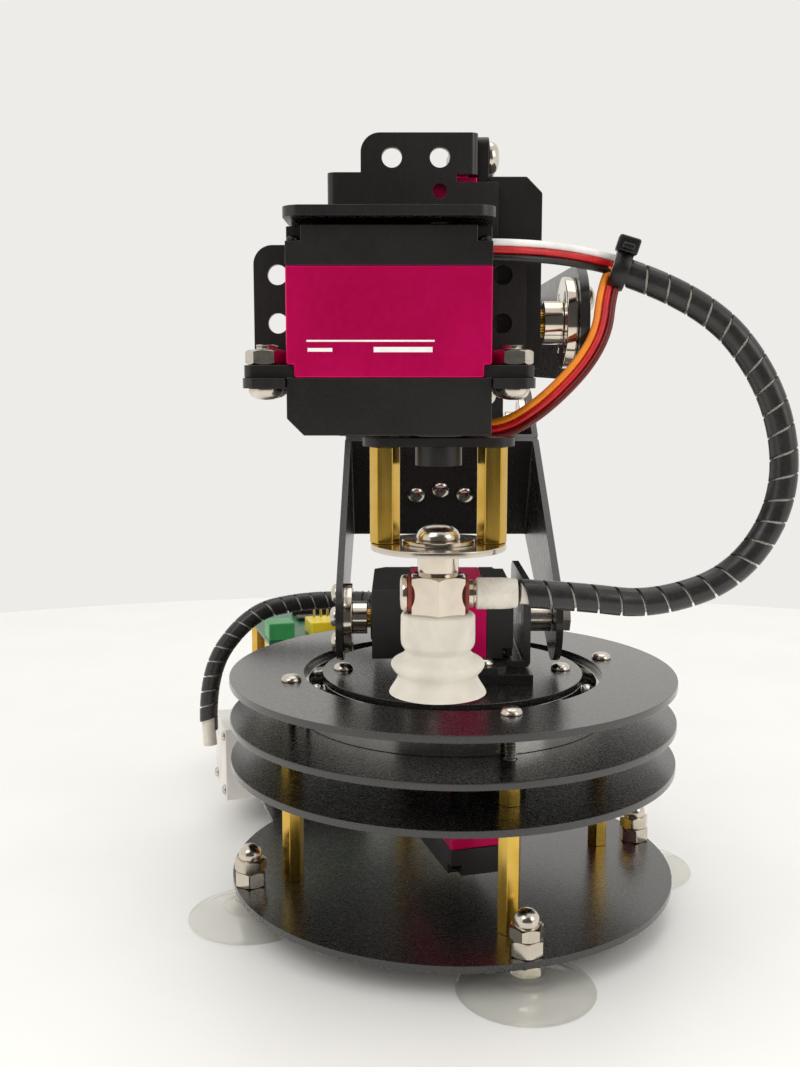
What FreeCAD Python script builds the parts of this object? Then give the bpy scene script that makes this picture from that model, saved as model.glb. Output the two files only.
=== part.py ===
import FreeCAD, Part
import Sketcher
import math
import os
import re

# Desktop servo arm with a vacuum cup, in millimetres. +Z is up, the arm points along -Y, and the
# origin is on the turntable's axis at the table under the feet.

doc = FreeCAD.newDocument("servo_arm")
sizes = doc.addObject("Spreadsheet::Sheet", "sizes")
SIZES = {
    # base stack
    "plate_diameter": 130,
    "plate_thick": 2,
    "foot_height": 8,
    "long_standoff": 33,
    "short_standoff": 10,
    "pillar_land": 3,
    "standoff_flats": 5.5,
    "base_turn": 16,
    "tail_width": 92,
    "tail_reach": 150,
    "top_land": 1.5,
    "foot_circle": 121,
    "cup_diameter": 36,
    "cup_height": 5,
    "stud_diameter": 5,
    "stud_flats": 8,
    # ring bearing and turntable
    "bearing_height": 10,
    "bearing_outer": 90,
    "bearing_bore": 70,
    "race_gap": 4,
    "ball_diameter": 4.8,
    "race_clear": 0.05,
    "ring_lift": 0.3,
    "turntable_thick": 2,
    "riser_thick": 3,
    "ring_screw_span": 64,
    # servo
    "servo_length": 40,
    "servo_width": 20,
    "shaft_inset": 10,
    "gear_depth": 11.2,
    "cap_chamfer": 3.3,
    "case_depth": 21.5,
    "rear_depth": 7.6,
    "rear_notch": 3,
    "ear_span": 57,
    "ear_width": 18,
    "ear_thick": 2.5,
    "ear_root": 1.5,
    "ear_round": 2,
    "ear_bolt_span": 49,
    "ear_bolt_pitch": 10,
    "shaft_diameter": 5.9,
    "shaft_sink": 7.5,
    "boss_diameter": 13,
    "boss_height": 0.5,
    # horns and fasteners
    "horn_reach": 8.3,
    "horn_diameter": 20,
    "horn_thick": 2.5,
    "hub_diameter": 9.5,
    "hub_clear": 1.5,
    "spline_reach": 5.5,
    "horn_circle": 14,
    "small_screw": 3,
    "small_head": 5.6,
    "small_rise": 1.9,
    "bolt_diameter": 4,
    "bolt_head": 6.6,
    "bolt_rise": 2.4,
    "nut_flats": 7,
    "nut_height": 3,
    "thread_end": 1,
    "hole_clear": 0.1,
    "thread_clear": 0.05,
    # folded brackets
    "fold_thick": 2,
    "fold_round": 1.8,
    "fold_inner": 0.5,
    "bracket_depth": 25,
    "bracket_gap": 0.5,
    "bracket_span": 31.5,
    "bracket_tab": 24.5,
    "bracket_lip": 4.2,
    "yaw_span": 34.5,
    "yaw_tab": 29.3,
    "idler_width": 41,
    "tab_hole": 4.2,
    "tab_round": 4,
    "flange_round": 3,
    "relief_width": 1.5,
    "relief_depth": 4.5,
    "pilot_hole": 3,
    "pilot_drop": 6.8,
    "tab_inset": 5,
    "tab_pitch": 10,
    "tab_start": 8,
    "yaw_tab_start": 13.2,
    # arm
    "arm_lean": 58.5,
    "arm_length": 100,
    "arm_left": 31.6,
    "arm_inner": 60.5,
    "leg_width": 25,
    "yoke_reach": 28,
    "web_drop": 27.5,
    "forearm_reach": 160,
    "forearm_rise": 30,
    "forearm_right": 23,
    "forearm_inner": 57,
    "pivot_clear": 0.3,
    "pivot_flange": 8,
    # wrist and tool
    "tool_offset": 7.4,
    "yaw_drop": 23,
    "tool_horn_width": 9,
    "tool_horn_thick": 1.8,
    "tool_pillar_span": 22,
    "tool_pillar_length": 20,
    "tool_plate_diameter": 28,
    "tool_plate_thick": 1.2,
    "tool_screw_head": 9,
    "tool_screw_rise": 3,
    "screw_washer": 15,
    "screw_washer_thick": 0.8,
    "tool_screw_shank": 5,
    "neck_diameter": 8.4,
    "neck_length": 5.3,
    "fitting_flats": 11,
    "fitting_height": 8.2,
    "washer_diameter": 8,
    "washer_thick": 0.8,
    "plug_diameter": 8,
    "plug_thick": 1.6,
    "barb_diameter": 6.6,
    "barb_end": 16.4,
    "vacuum_cup_diameter": 20.4,
    "vacuum_cup_height": 17,
    "vacuum_bore": 4,
    # control board and pump on the tail
    "board_width": 76,
    "board_depth": 50,
    "board_front": 95,
    "board_thick": 1.6,
    "board_height": 47,
    "board_inset": 4,
    "pump_head_width": 16,
    "pump_head_depth": 25,
    "pump_head_height": 25,
    "pump_side": 42,
    "pump_back": 81,
    "pump_motor_diameter": 23,
    "pump_motor_length": 34,
    # cords
    "loom_diameter": 6,
    "lead_diameter": 2.6,
    "tie_thick": 1.2,
    "tie_width": 3.5,
}
for row, (alias, number) in enumerate(SIZES.items(), 1):
    sizes.set("A%d" % row, alias)
    sizes.set("B%d" % row, str(number))
    sizes.setAlias("B%d" % row, alias)
doc.recompute()


def full(text):
    return re.sub(r"\b([a-z]+(?:_[a-z]+)+)\b", r"sizes.\1", text)


def value(alias):
    return float(sizes.get(alias))


def bind(item, prop, text):
    item.setExpression(prop, full(text))


def put(item, x="0", y="0", z="0", turn=None):
    if turn is not None:
        item.Placement = FreeCAD.Placement(FreeCAD.Vector(0, 0, 0), turn)
    bind(item, "Placement.Base.x", x)
    bind(item, "Placement.Base.y", y)
    bind(item, "Placement.Base.z", z)
    return item


def block(name, low, span):
    item = doc.addObject("Part::Box", name)
    for prop, text in zip(("Length", "Width", "Height"), span):
        bind(item, prop, text)
    return put(item, *low)


TURN = {
    "x": FreeCAD.Rotation(FreeCAD.Vector(0, 1, 0), 90),
    "y": FreeCAD.Rotation(FreeCAD.Vector(1, 0, 0), -90),
    "z": FreeCAD.Rotation(),
}


def rod(name, low, radius, length, along="z"):
    item = doc.addObject("Part::Cylinder", name)
    bind(item, "Radius", radius)
    bind(item, "Height", length)
    return put(item, *low, turn=TURN[along])


def taper(name, low, radius, end_radius, length, along="z"):
    item = doc.addObject("Part::Cone", name)
    bind(item, "Radius1", radius)
    bind(item, "Radius2", end_radius)
    bind(item, "Height", length)
    return put(item, *low, turn=TURN[along])


def hexagon(name, low, flats, length, along="z"):
    item = doc.addObject("Part::Prism", name)
    item.Polygon = 6
    bind(item, "Circumradius", "(%s) / 2 / cos(30)" % flats)
    bind(item, "Height", length)
    return put(item, *low, turn=TURN[along])


def fuse(name, items):
    item = doc.addObject("Part::MultiFuse", name)
    item.Shapes = items
    item.Refine = True
    return item


def carve(name, base, tools):
    item = doc.addObject("Part::Cut", name)
    item.Base = base
    item.Tool = tools[0] if len(tools) == 1 else group(name + "_tools", tools)
    item.Refine = True
    return item


def group(name, items):
    item = doc.addObject("Part::Compound", name)
    item.Links = items
    return item


def plane(body, role):
    return [part for part in body.Origin.OriginFeatures if part.Role == role][0]


def hold(sketch, index, spot, x, y):
    # a sketch point held at (x, y) from the sketch's origin
    for kind, axis, text in (("DistanceX", -2, x), ("DistanceY", -1, y)):
        if text == "0":
            sketch.addConstraint(Sketcher.Constraint("PointOnObject", index, spot, axis))
        else:
            made = sketch.addConstraint(Sketcher.Constraint(kind, -1, 1, index, spot, 1.0))
            bind(sketch, "Constraints[%d]" % made, text)


def sketch_on(body, name, role, offset=None):
    sketch = body.newObject("Sketcher::SketchObject", name)
    sketch.AttachmentSupport = (plane(body, role), [""])
    sketch.MapMode = "FlatFace"
    if offset is not None:
        bind(sketch, "AttachmentOffset.Base.z", offset)
    return sketch


def loop(sketch, corners):
    # a closed outline whose corners are held by sheet sizes
    first = sketch.GeometryCount
    count = len(corners)
    for step in range(count):
        ends = []
        for spot in (step, step + 1):
            angle = 2 * math.pi * spot / count
            ends.append(FreeCAD.Vector(math.cos(angle), math.sin(angle), 0))
        sketch.addGeometry(Part.LineSegment(ends[0], ends[1]))
    for step in range(count):
        after = first + (step + 1) % count
        sketch.addConstraint(Sketcher.Constraint("Coincident", first + step, 2, after, 1))
    for step, corner in enumerate(corners):
        hold(sketch, first + step, 1, corner[0], corner[1])


def rings(sketch, circles):
    for x, y, radius in circles:
        index = sketch.addGeometry(Part.Circle(FreeCAD.Vector(0, 0, 0), FreeCAD.Vector(0, 0, 1), 1))
        hold(sketch, index, 3, x, y)
        made = sketch.addConstraint(Sketcher.Constraint("Radius", index, 1.0))
        bind(sketch, "Constraints[%d]" % made, radius)


def pad(body, name, sketch, length, both=False):
    item = body.newObject("PartDesign::Pad", name)
    item.Profile = sketch
    if both:
        item.SideType = "Symmetric"
    bind(item, "Length", length)
    return item


def pocket(body, name, sketch):
    # a cut through everything, both ways from the sketch
    item = body.newObject("PartDesign::Pocket", name)
    item.Profile = sketch
    item.SideType = "Symmetric"
    item.Type = "ThroughAll"
    return item


EDGE_MATCH = 0.001


def rounded(body, name, radius, along, spots):
    # rounds the edges that run along one axis (0, 1 or 2) through the given spots on the other two
    doc.recompute()
    tip = body.Tip
    across = [axis for axis in range(3) if axis != along]
    places = [[float(sizes.evalExpression(full(text))) for text in spot] for spot in spots]
    picked = []
    for number, edge in enumerate(tip.Shape.Edges, 1):
        ends = [edge.Vertexes[0].Point, edge.Vertexes[-1].Point]
        for place in places:
            misses = [abs(end[axis] - at) for end in ends for axis, at in zip(across, place)]
            if max(misses) < EDGE_MATCH:
                picked.append("Edge%d" % number)
    item = body.newObject("PartDesign::Fillet", name)
    item.Base = (tip, picked)
    bind(item, "Radius", radius)
    return item


def turned(name, corners):
    # a turned piece: half its section in (radius, height), spun about the upright axis
    body = doc.addObject("PartDesign::Body", name)
    sketch = sketch_on(body, name + "_section", "XZ_Plane")
    loop(sketch, corners)
    spin = body.newObject("PartDesign::Revolution", name + "_spin")
    spin.Profile = sketch
    spin.ReferenceAxis = (sketch, ["V_Axis"])
    return body


def sheet_plate(name, outline, thick, holes):
    # a flat plate: outline rings or loops padded, then cut through
    body = doc.addObject("PartDesign::Body", name)
    for step, (kind, shape) in enumerate(outline):
        sketch = sketch_on(body, "%s_outline_%d" % (name, step), "XY_Plane")
        kind(sketch, shape)
        pad(body, "%s_pad_%d" % (name, step), sketch, thick)
    for step, (kind, shape) in enumerate(holes):
        sketch = sketch_on(body, "%s_cut_%d" % (name, step), "XY_Plane")
        kind(sketch, shape)
        pocket(body, "%s_pocket_%d" % (name, step), sketch)
    return body


nodes = []


def node(item, label):
    item.Label = label
    nodes.append(item)
    return item


def copy(name, item, x="0", y="0", z="0", turn=None):
    made = doc.addObject("Part::Compound", name)
    made.Links = [item]
    return put(made, x, y, z, turn)


def spun(item, angle):
    # stands a piece on the base axis, turned about it
    item.Placement = FreeCAD.Placement(FreeCAD.Vector(0, 0, 0), FreeCAD.Rotation(FreeCAD.Vector(0, 0, 1), 1))
    bind(item, "Placement.Rotation.Angle", angle)
    return item


def facing(x, y, z):
    # rotation that carries the local axes onto the given directions
    matrix = FreeCAD.Matrix(x[0], y[0], z[0], 0, x[1], y[1], z[1], 0, x[2], y[2], z[2], 0, 0, 0, 0, 1)
    return FreeCAD.Placement(matrix).Rotation


# heights of the stack, and where the joints lie
base_top = "(foot_height + plate_thick)"
pillar_radius = "(bearing_outer / 2 + pillar_land)"
race_circle = "((bearing_outer + bearing_bore) / 2)"
servo_low = "(%s + long_standoff)" % base_top
servo_top = "(%s + plate_thick)" % servo_low
bearing_low = "(%s + short_standoff)" % servo_top
bearing_top = "(%s + plate_thick)" % bearing_low
top_low = "(%s + bearing_height)" % bearing_top
top_top = "(%s + plate_thick)" % top_low
table_top = "(%s + turntable_thick)" % top_low
riser_top = "(%s + riser_thick)" % table_top
shell_reach = "(servo_width / 2 + bracket_gap + fold_thick)"
shoulder_z = "(%s + %s)" % (riser_top, shell_reach)
elbow_y = "(arm_length * sin(arm_lean))"
elbow_z = "(%s + arm_length * cos(arm_lean))" % shoulder_z
wrist_y = "(%s - forearm_reach)" % elbow_y
wrist_z = "(%s + forearm_rise)" % elbow_z
tool_y = "(%s - 2 * %s)" % (wrist_y, shell_reach)
yaw_cap = "(%s - yaw_drop)" % wrist_z
shoulder_cap = "(horn_reach - arm_left)"
elbow_cap = "(arm_inner - arm_left - horn_reach)"
wrist_cap = "(forearm_right - horn_reach)"
base_cap = "(%s + gear_depth + ear_thick)" % servo_top
web_reach = "(arm_length - yoke_reach)"
arm_turn = FreeCAD.Rotation(FreeCAD.Vector(-1, 0, 0), 1)
pitch_turn = facing((0, 0, 1), (0, -1, 0), (1, 0, 0))
shoulder_turn = facing((0, 1, 0), (0, 0, -1), (-1, 0, 0))
yaw_turn = facing((-1, 0, 0), (0, 1, 0), (0, 0, -1))

# servo, built once about its shaft: z out along the shaft from the gear case's face, x along the
# body towards its long end, y across it
near_end = "-shaft_inset"
far_end = "(servo_length - shaft_inset)"
middle = "(servo_length / 2 - shaft_inset)"
ear_near = "(%s - ear_span / 2)" % middle
ear_far = "(%s + ear_span / 2)" % middle
ear_low = "(-gear_depth - ear_thick)"
case_low = "(-gear_depth - case_depth)"
servo_rear = "(%s - rear_depth)" % case_low
bolt_spots = []
for side in ("-", "+"):
    for lane in ("-", ""):
        bolt_spots.append(("%s %s ear_bolt_span / 2" % (middle, side), "%sear_bolt_pitch / 2" % lane))

gear_case = doc.addObject("PartDesign::Body", "gear_case")
profile = sketch_on(gear_case, "gear_profile", "XZ_Plane")
loop(profile, [
    (near_end, "-gear_depth"),
    (far_end, "-gear_depth"),
    (far_end, "-cap_chamfer"),
    ("%s - cap_chamfer" % far_end, "0"),
    (near_end, "0"),
])
pad(gear_case, "gear_pad", profile, "servo_width", True)
ears = sketch_on(gear_case, "gear_ears", "XZ_Plane")
loop(ears, [
    (ear_near, ear_low),
    ("%s + ear_root" % near_end, ear_low),
    ("%s + ear_root" % near_end, "-gear_depth"),
    (ear_near, "-gear_depth"),
])
loop(ears, [
    ("%s - ear_root" % far_end, ear_low),
    (ear_far, ear_low),
    (ear_far, "-gear_depth"),
    ("%s - ear_root" % far_end, "-gear_depth"),
])
pad(gear_case, "gear_ear_pad", ears, "ear_width", True)
ear_corners = [(x, "%sear_width / 2" % side) for x in (ear_near, ear_far) for side in ("-", "")]
rounded(gear_case, "gear_ear_round", "ear_round", 2, ear_corners)
boss = sketch_on(gear_case, "gear_boss", "XY_Plane")
rings(boss, [("0", "0", "boss_diameter / 2")])
pad(gear_case, "gear_boss_pad", boss, "boss_height")
ear_holes = sketch_on(gear_case, "gear_ear_holes", "XY_Plane")
rings(ear_holes, [(x, y, "bolt_diameter / 2 + hole_clear") for x, y in bolt_spots])
pocket(gear_case, "gear_ear_pocket", ear_holes)
shaft_hole = sketch_on(gear_case, "gear_shaft_hole", "XY_Plane")
rings(shaft_hole, [("0", "0", "shaft_diameter / 2 + thread_clear")])
pocket(gear_case, "gear_shaft_pocket", shaft_hole)

mid_case = doc.addObject("PartDesign::Body", "mid_case")
profile = sketch_on(mid_case, "mid_profile", "XZ_Plane")
loop(profile, [
    ("%s + ear_root" % near_end, "-gear_depth"),
    ("%s - ear_root" % far_end, "-gear_depth"),
    ("%s - ear_root" % far_end, ear_low),
    (far_end, ear_low),
    (far_end, case_low),
    (near_end, case_low),
    (near_end, ear_low),
    ("%s + ear_root" % near_end, ear_low),
])
pad(mid_case, "mid_pad", profile, "servo_width", True)

rear_cover = doc.addObject("PartDesign::Body", "rear_cover")
profile = sketch_on(rear_cover, "rear_profile", "XZ_Plane")
loop(profile, [
    (near_end, case_low),
    (far_end, case_low),
    (far_end, servo_rear),
    (near_end, servo_rear),
])
pad(rear_cover, "rear_pad", profile, "servo_width", True)
notches = []
for x in (near_end, "%s - rear_notch" % far_end):
    for y in ("-servo_width / 2", "servo_width / 2 - rear_notch"):
        low = (x, y, servo_rear)
        notches.append(block("rear_notch_cut_%d" % len(notches), low,
                             ("rear_notch", "rear_notch", "rear_notch")))
rear_shell = carve("rear_shell", rear_cover, notches)

servo_covers = group("servo_covers", [gear_case, rear_shell])
spline = rod("spline", ("0", "0", "-shaft_sink"), "shaft_diameter / 2", "shaft_sink + spline_reach")

# disc horn, on the same axis: hub, disc, blind spline socket and four tapped holes
horn_turned = turned("horn_turned", [
    ("0", "spline_reach"),
    ("shaft_diameter / 2 + thread_clear", "spline_reach"),
    ("shaft_diameter / 2 + thread_clear", "hub_clear"),
    ("hub_diameter / 2", "hub_clear"),
    ("hub_diameter / 2", "horn_reach - horn_thick"),
    ("horn_diameter / 2", "horn_reach - horn_thick"),
    ("horn_diameter / 2", "horn_reach"),
    ("0", "horn_reach"),
])
horn_spots = []
for quarter in range(4):
    angle = "45 + 90 * %d" % quarter
    horn_spots.append(("horn_circle / 2 * cos(%s)" % angle, "horn_circle / 2 * sin(%s)" % angle))
horn_cut = sketch_on(horn_turned, "horn_holes", "XY_Plane")
rings(horn_cut, [(x, y, "small_screw / 2") for x, y in horn_spots])
pocket(horn_turned, "horn_pocket", horn_cut)


def screw(name, x, y, z, grip, way):
    # small pan-head screw along z: its head stands on z, its shank goes the other way
    if way > 0:
        head = taper(name + "_head", (x, y, z), "small_head / 2", "small_head / 2 * 0.75", "small_rise")
        shank = rod(name + "_shank", (x, y, "%s - (%s)" % (z, grip)), "small_screw / 2 - thread_clear", grip)
    else:
        low = (x, y, "%s - small_rise" % z)
        head = taper(name + "_head", low, "small_head / 2 * 0.75", "small_head / 2", "small_rise")
        shank = rod(name + "_shank", (x, y, z), "small_screw / 2 - thread_clear", grip)
    return fuse(name, [head, shank])


def bolt(name, x, y, head_z, grip):
    # ear bolt along z: head on the shaft's side, nut on the far side of what it grips
    shank_length = "%s + nut_height + thread_end" % grip
    head = taper(name + "_head", (x, y, head_z), "bolt_head / 2", "bolt_head / 2 * 0.75", "bolt_rise")
    nut_low = "%s - (%s) - nut_height" % (head_z, grip)
    shank = rod(name + "_shank", (x, y, "%s - (%s)" % (head_z, shank_length)),
                "bolt_diameter / 2 - thread_clear", shank_length)
    nut_body = hexagon(name + "_nut_body", (x, y, nut_low), "nut_flats", "nut_height")
    nut_bore = rod(name + "_nut_bore", (x, y, nut_low), "bolt_diameter / 2", "nut_height")
    return [fuse(name, [head, shank]), carve(name + "_nut", nut_body, [nut_bore])]


ear_bolts = []
yaw_bolts = []
for x, y in bolt_spots:
    grip = "ear_thick + fold_thick"
    ear_bolts += bolt("ear_bolt_%d" % len(ear_bolts), x, y, "-gear_depth", grip)
    yaw_bolts += bolt("yaw_bolt_%d" % len(yaw_bolts), x, y, "fold_thick - gear_depth", grip)
ear_bolt_set = group("ear_bolt_set", ear_bolts)
yaw_bolt_set = group("yaw_bolt_set", yaw_bolts)


def bracket(name, face, span, tab, start):
    # folded servo bracket about the servo's own axes: a sketched back plate with bend reliefs either
    # side of its lip, then two ear flanges and the idler plate folded forward from it
    inside = "(servo_width / 2 + bracket_gap)"
    outside = "(%s + fold_thick)" % inside
    front = "(%s - bracket_depth)" % outside
    idler_near = "(%s - idler_width / 2)" % middle
    idler_far = "(%s + idler_width / 2)" % middle
    low = "(%s - %s)" % (face, span)
    tab_low = "(%s - %s)" % (face, tab)
    root_near = "(%s - hole_clear)" % near_end
    root_far = "(%s + hole_clear)" % far_end
    lip_near = "(%s + relief_width)" % near_end
    lip_far = "(%s - relief_width)" % far_end
    body = doc.addObject("PartDesign::Body", name)
    back = sketch_on(body, name + "_back", "XZ_Plane", "-%s" % outside)
    loop(back, [
        (idler_near, low),
        (idler_far, low),
        (idler_far, tab_low),
        (ear_far, tab_low),
        (ear_far, face),
        (root_far, face),
        (root_far, "%s - relief_depth" % face),
        (lip_far, "%s - relief_depth" % face),
        (lip_far, "%s + bracket_lip" % face),
        (lip_near, "%s + bracket_lip" % face),
        (lip_near, "%s - relief_depth" % face),
        (root_near, "%s - relief_depth" % face),
        (root_near, face),
        (ear_near, face),
        (ear_near, tab_low),
        (idler_near, tab_low),
    ])
    pad(body, name + "_back_pad", back, "fold_thick")
    folds = sketch_on(body, name + "_folds", "XZ_Plane", "-%s" % outside)
    for x_low, x_high, z_low in (
        (ear_near, root_near, "(%s - fold_thick)" % face),
        (root_far, ear_far, "(%s - fold_thick)" % face),
        (idler_near, idler_far, low),
    ):
        z_high = "%s + fold_thick" % z_low
        loop(folds, [(x_low, z_low), (x_high, z_low), (x_high, z_high), (x_low, z_high)])
    pad(body, name + "_folds_pad", folds, "bracket_depth")
    rounded(body, name + "_bends", "fold_round", 0, [(outside, face), (outside, low)])
    rounded(body, name + "_throats", "fold_inner", 0, [
        (inside, "%s - fold_thick" % face),
        (inside, "%s + fold_thick" % low),
    ])
    rounded(body, name + "_tab_corners", "tab_round", 1, [(ear_near, tab_low), (ear_far, tab_low)])
    rounded(body, name + "_idler_corners", "tab_round", 2, [(idler_near, front), (idler_far, front)])
    rounded(body, name + "_flange_corners", "flange_round", 2, [(ear_near, front), (ear_far, front)])
    tab_holes = sketch_on(body, name + "_tab_holes", "XZ_Plane")
    for x, inward in (("%s + tab_inset" % ear_near, "+"), ("%s - tab_inset" % ear_far, "-")):
        rings(tab_holes, [
            (x, "%s - %s" % (face, start), "tab_hole / 2"),
            (x, "%s - %s - tab_pitch" % (face, start), "tab_hole / 2"),
            ("%s %s pilot_drop" % (x, inward), "%s - %s" % (face, start), "pilot_hole / 2"),
        ])
    pocket(body, name + "_tab_pocket", tab_holes)
    ear_cut = sketch_on(body, name + "_ear_holes", "XY_Plane")
    rings(ear_cut, [(x, y, "bolt_diameter / 2 + hole_clear") for x, y in bolt_spots])
    rings(ear_cut, [("0", "0", "bolt_diameter / 2")])
    pocket(body, name + "_ear_pocket", ear_cut)
    return body


servo_bracket = bracket("servo_bracket", ear_low, "bracket_span", "bracket_tab", "tab_start")
idler_face = "(%s - bracket_span)" % ear_low


def pivot(name, gap):
    # idler axle: spacer on the bracket, running pin through the leg, retaining nut outside
    spacer = rod(name + "_spacer", ("0", "0", "%s - (%s) + pivot_clear" % (idler_face, gap)),
                 "pivot_flange / 2", "%s - pivot_clear" % gap)
    pin_low = "%s - (%s) - fold_thick - pivot_clear - nut_height" % (idler_face, gap)
    pin = rod(name + "_pin", ("0", "0", pin_low), "bolt_diameter / 2 - thread_clear",
              "%s + 2 * fold_thick + pivot_clear + nut_height" % gap)
    nut = hexagon(name + "_nut", ("0", "0", pin_low), "nut_flats", "nut_height")
    return fuse(name, [spacer, pin, nut])


# base plates: all drilled on one pillar circle
pillars = []
feet = []
for x, y in (("0", "-"), ("-", "0"), ("", "0"), ("0", "")):
    pillars.append(tuple(text if text == "0" else text + pillar_radius for text in (x, y)))
    feet.append(tuple(text if text == "0" else text + "foot_circle / 2" for text in (x, y)))
pillar_holes = [(x, y, "small_screw / 2 + hole_clear") for x, y in pillars]
foot_holes = [(x, y, "stud_diameter / 2 + hole_clear") for x, y in feet]
rim = [("0", "0", "plate_diameter / 2")]
tail = [
    ("-tail_width / 2", "0"),
    ("tail_width / 2", "0"),
    ("tail_width / 2", "tail_reach"),
    ("-tail_width / 2", "tail_reach"),
]
window_side = "servo_width / 2 + pivot_clear"
window = [
    ("-(%s)" % window_side, "-(%s) - pivot_clear" % far_end),
    (window_side, "-(%s) - pivot_clear" % far_end),
    (window_side, "shaft_inset + pivot_clear"),
    ("-(%s)" % window_side, "shaft_inset + pivot_clear"),
]
base_bolt_holes = []
for x, y in bolt_spots:
    base_bolt_holes.append((y, "-(%s)" % x, "bolt_diameter / 2 + hole_clear"))

base_plate = sheet_plate("base_plate", [(rings, rim), (loop, tail)], "plate_thick",
                         [(rings, pillar_holes), (rings, foot_holes)])
node(put(spun(base_plate, "base_turn"), z="foot_height"), "base_plate")
servo_plate = sheet_plate("servo_plate", [(rings, rim)], "plate_thick",
                          [(rings, pillar_holes), (loop, window), (rings, base_bolt_holes)])
node(put(spun(servo_plate, "base_turn"), z=servo_low), "servo_plate")
bearing_plate = sheet_plate("bearing_plate", [(rings, rim)], "plate_thick",
                            [(rings, pillar_holes), (loop, window)])
node(put(spun(bearing_plate, "base_turn"), z=bearing_low), "bearing_plate")
top_plate = sheet_plate("top_plate", [(rings, rim)], "plate_thick",
                        [(rings, pillar_holes), (rings, [("0", "0", "bearing_outer / 2 - top_land")])])
node(put(spun(top_plate, "base_turn"), z=top_low), "top_plate")

standoffs = []
plate_screws = []
stud_reach = "plate_thick + short_standoff / 2 - hole_clear"
for step, (x, y) in enumerate(pillars):
    pillar = hexagon("long_body_%d" % step, (x, y, base_top), "standoff_flats", "long_standoff")
    bore = rod("long_bore_%d" % step, (x, y, base_top), "small_screw / 2", "long_standoff / 3")
    stud = rod("long_stud_%d" % step, (x, y, servo_low), "small_screw / 2 - thread_clear", stud_reach)
    standoffs.append(fuse("long_%d" % step, [carve("long_bored_%d" % step, pillar, [bore]), stud]))
    pillar = hexagon("short_body_%d" % step, (x, y, servo_top), "standoff_flats", "short_standoff")
    bore = rod("short_bore_%d" % step, (x, y, servo_top), "small_screw / 2", "short_standoff")
    standoffs.append(carve("short_%d" % step, pillar, [bore]))
    grip = "2 * plate_thick + bearing_height + short_standoff / 2 - hole_clear"
    plate_screws.append(screw("top_screw_%d" % step, x, y, top_top, grip, 1))
    low_grip = "plate_thick + long_standoff / 4"
    plate_screws.append(screw("low_screw_%d" % step, x, y, "foot_height", low_grip, -1))
base_bolts = copy("base_bolts", ear_bolt_set, z=base_cap, turn=facing((0, -1, 0), (1, 0, 0), (0, 0, 1)))
plate_screws.append(base_bolts)
node(spun(group("plate_screws", plate_screws), "base_turn"), "plate_screws")

# clear suction feet on studs, with a nut below the plate, a nut above it and a cap nut
foot_cup = turned("foot_cup", [
    ("0", "cup_height"),
    ("cup_diameter * 0.16", "cup_height"),
    ("cup_diameter * 0.2", "cup_height * 0.8"),
    ("cup_diameter * 0.4", "cup_height * 0.44"),
    ("cup_diameter / 2", "cup_height * 0.18"),
    ("cup_diameter / 2", "0"),
    ("cup_diameter * 0.45", "0"),
    ("cup_diameter * 0.17", "cup_height * 0.48"),
    ("0", "cup_height * 0.56"),
])
cups = []
foot_metal = []
for step, (x, y) in enumerate(feet):
    cups.append(copy("foot_cup_%d" % step, foot_cup, x, y))
    nut_rise = "stud_flats * 0.55"
    cap_low = "%s + %s" % (base_top, nut_rise)
    stud = rod("foot_stud_%d" % step, (x, y, "cup_height"), "stud_diameter / 2 - thread_clear",
               "foot_height - cup_height + plate_thick + 2 * %s" % nut_rise)
    below = hexagon("foot_below_%d" % step, (x, y, "cup_height"), "stud_flats", "foot_height - cup_height")
    above = hexagon("foot_above_%d" % step, (x, y, base_top), "stud_flats", nut_rise)
    cap_hex = hexagon("foot_cap_hex_%d" % step, (x, y, cap_low), "stud_flats", "stud_flats * 0.4")
    cap_wall = rod("foot_cap_wall_%d" % step, (x, y, cap_low), "stud_flats * 0.42", "stud_flats * 0.65")
    cap_dome = taper("foot_cap_dome_%d" % step, (x, y, "%s + stud_flats * 0.65" % cap_low),
                     "stud_flats * 0.42", "stud_flats * 0.2", "stud_flats * 0.3")
    bore = rod("foot_bore_%d" % step, (x, y, "cup_height"), "stud_diameter / 2",
               "foot_height - cup_height + plate_thick + 2 * %s" % nut_rise)
    foot_metal.append(stud)
    foot_metal.append(carve("foot_below_nut_%d" % step, below, [bore]))
    foot_metal.append(carve("foot_above_nut_%d" % step, above, [bore]))
    cap = fuse("foot_cap_solid_%d" % step, [cap_hex, cap_wall, cap_dome])
    foot_metal.append(carve("foot_cap_%d" % step, cap, [bore]))
node(spun(group("suction_feet", cups), "base_turn"), "suction_feet")
node(spun(group("foot_nuts", foot_metal), "base_turn"), "foot_nuts")

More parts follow.
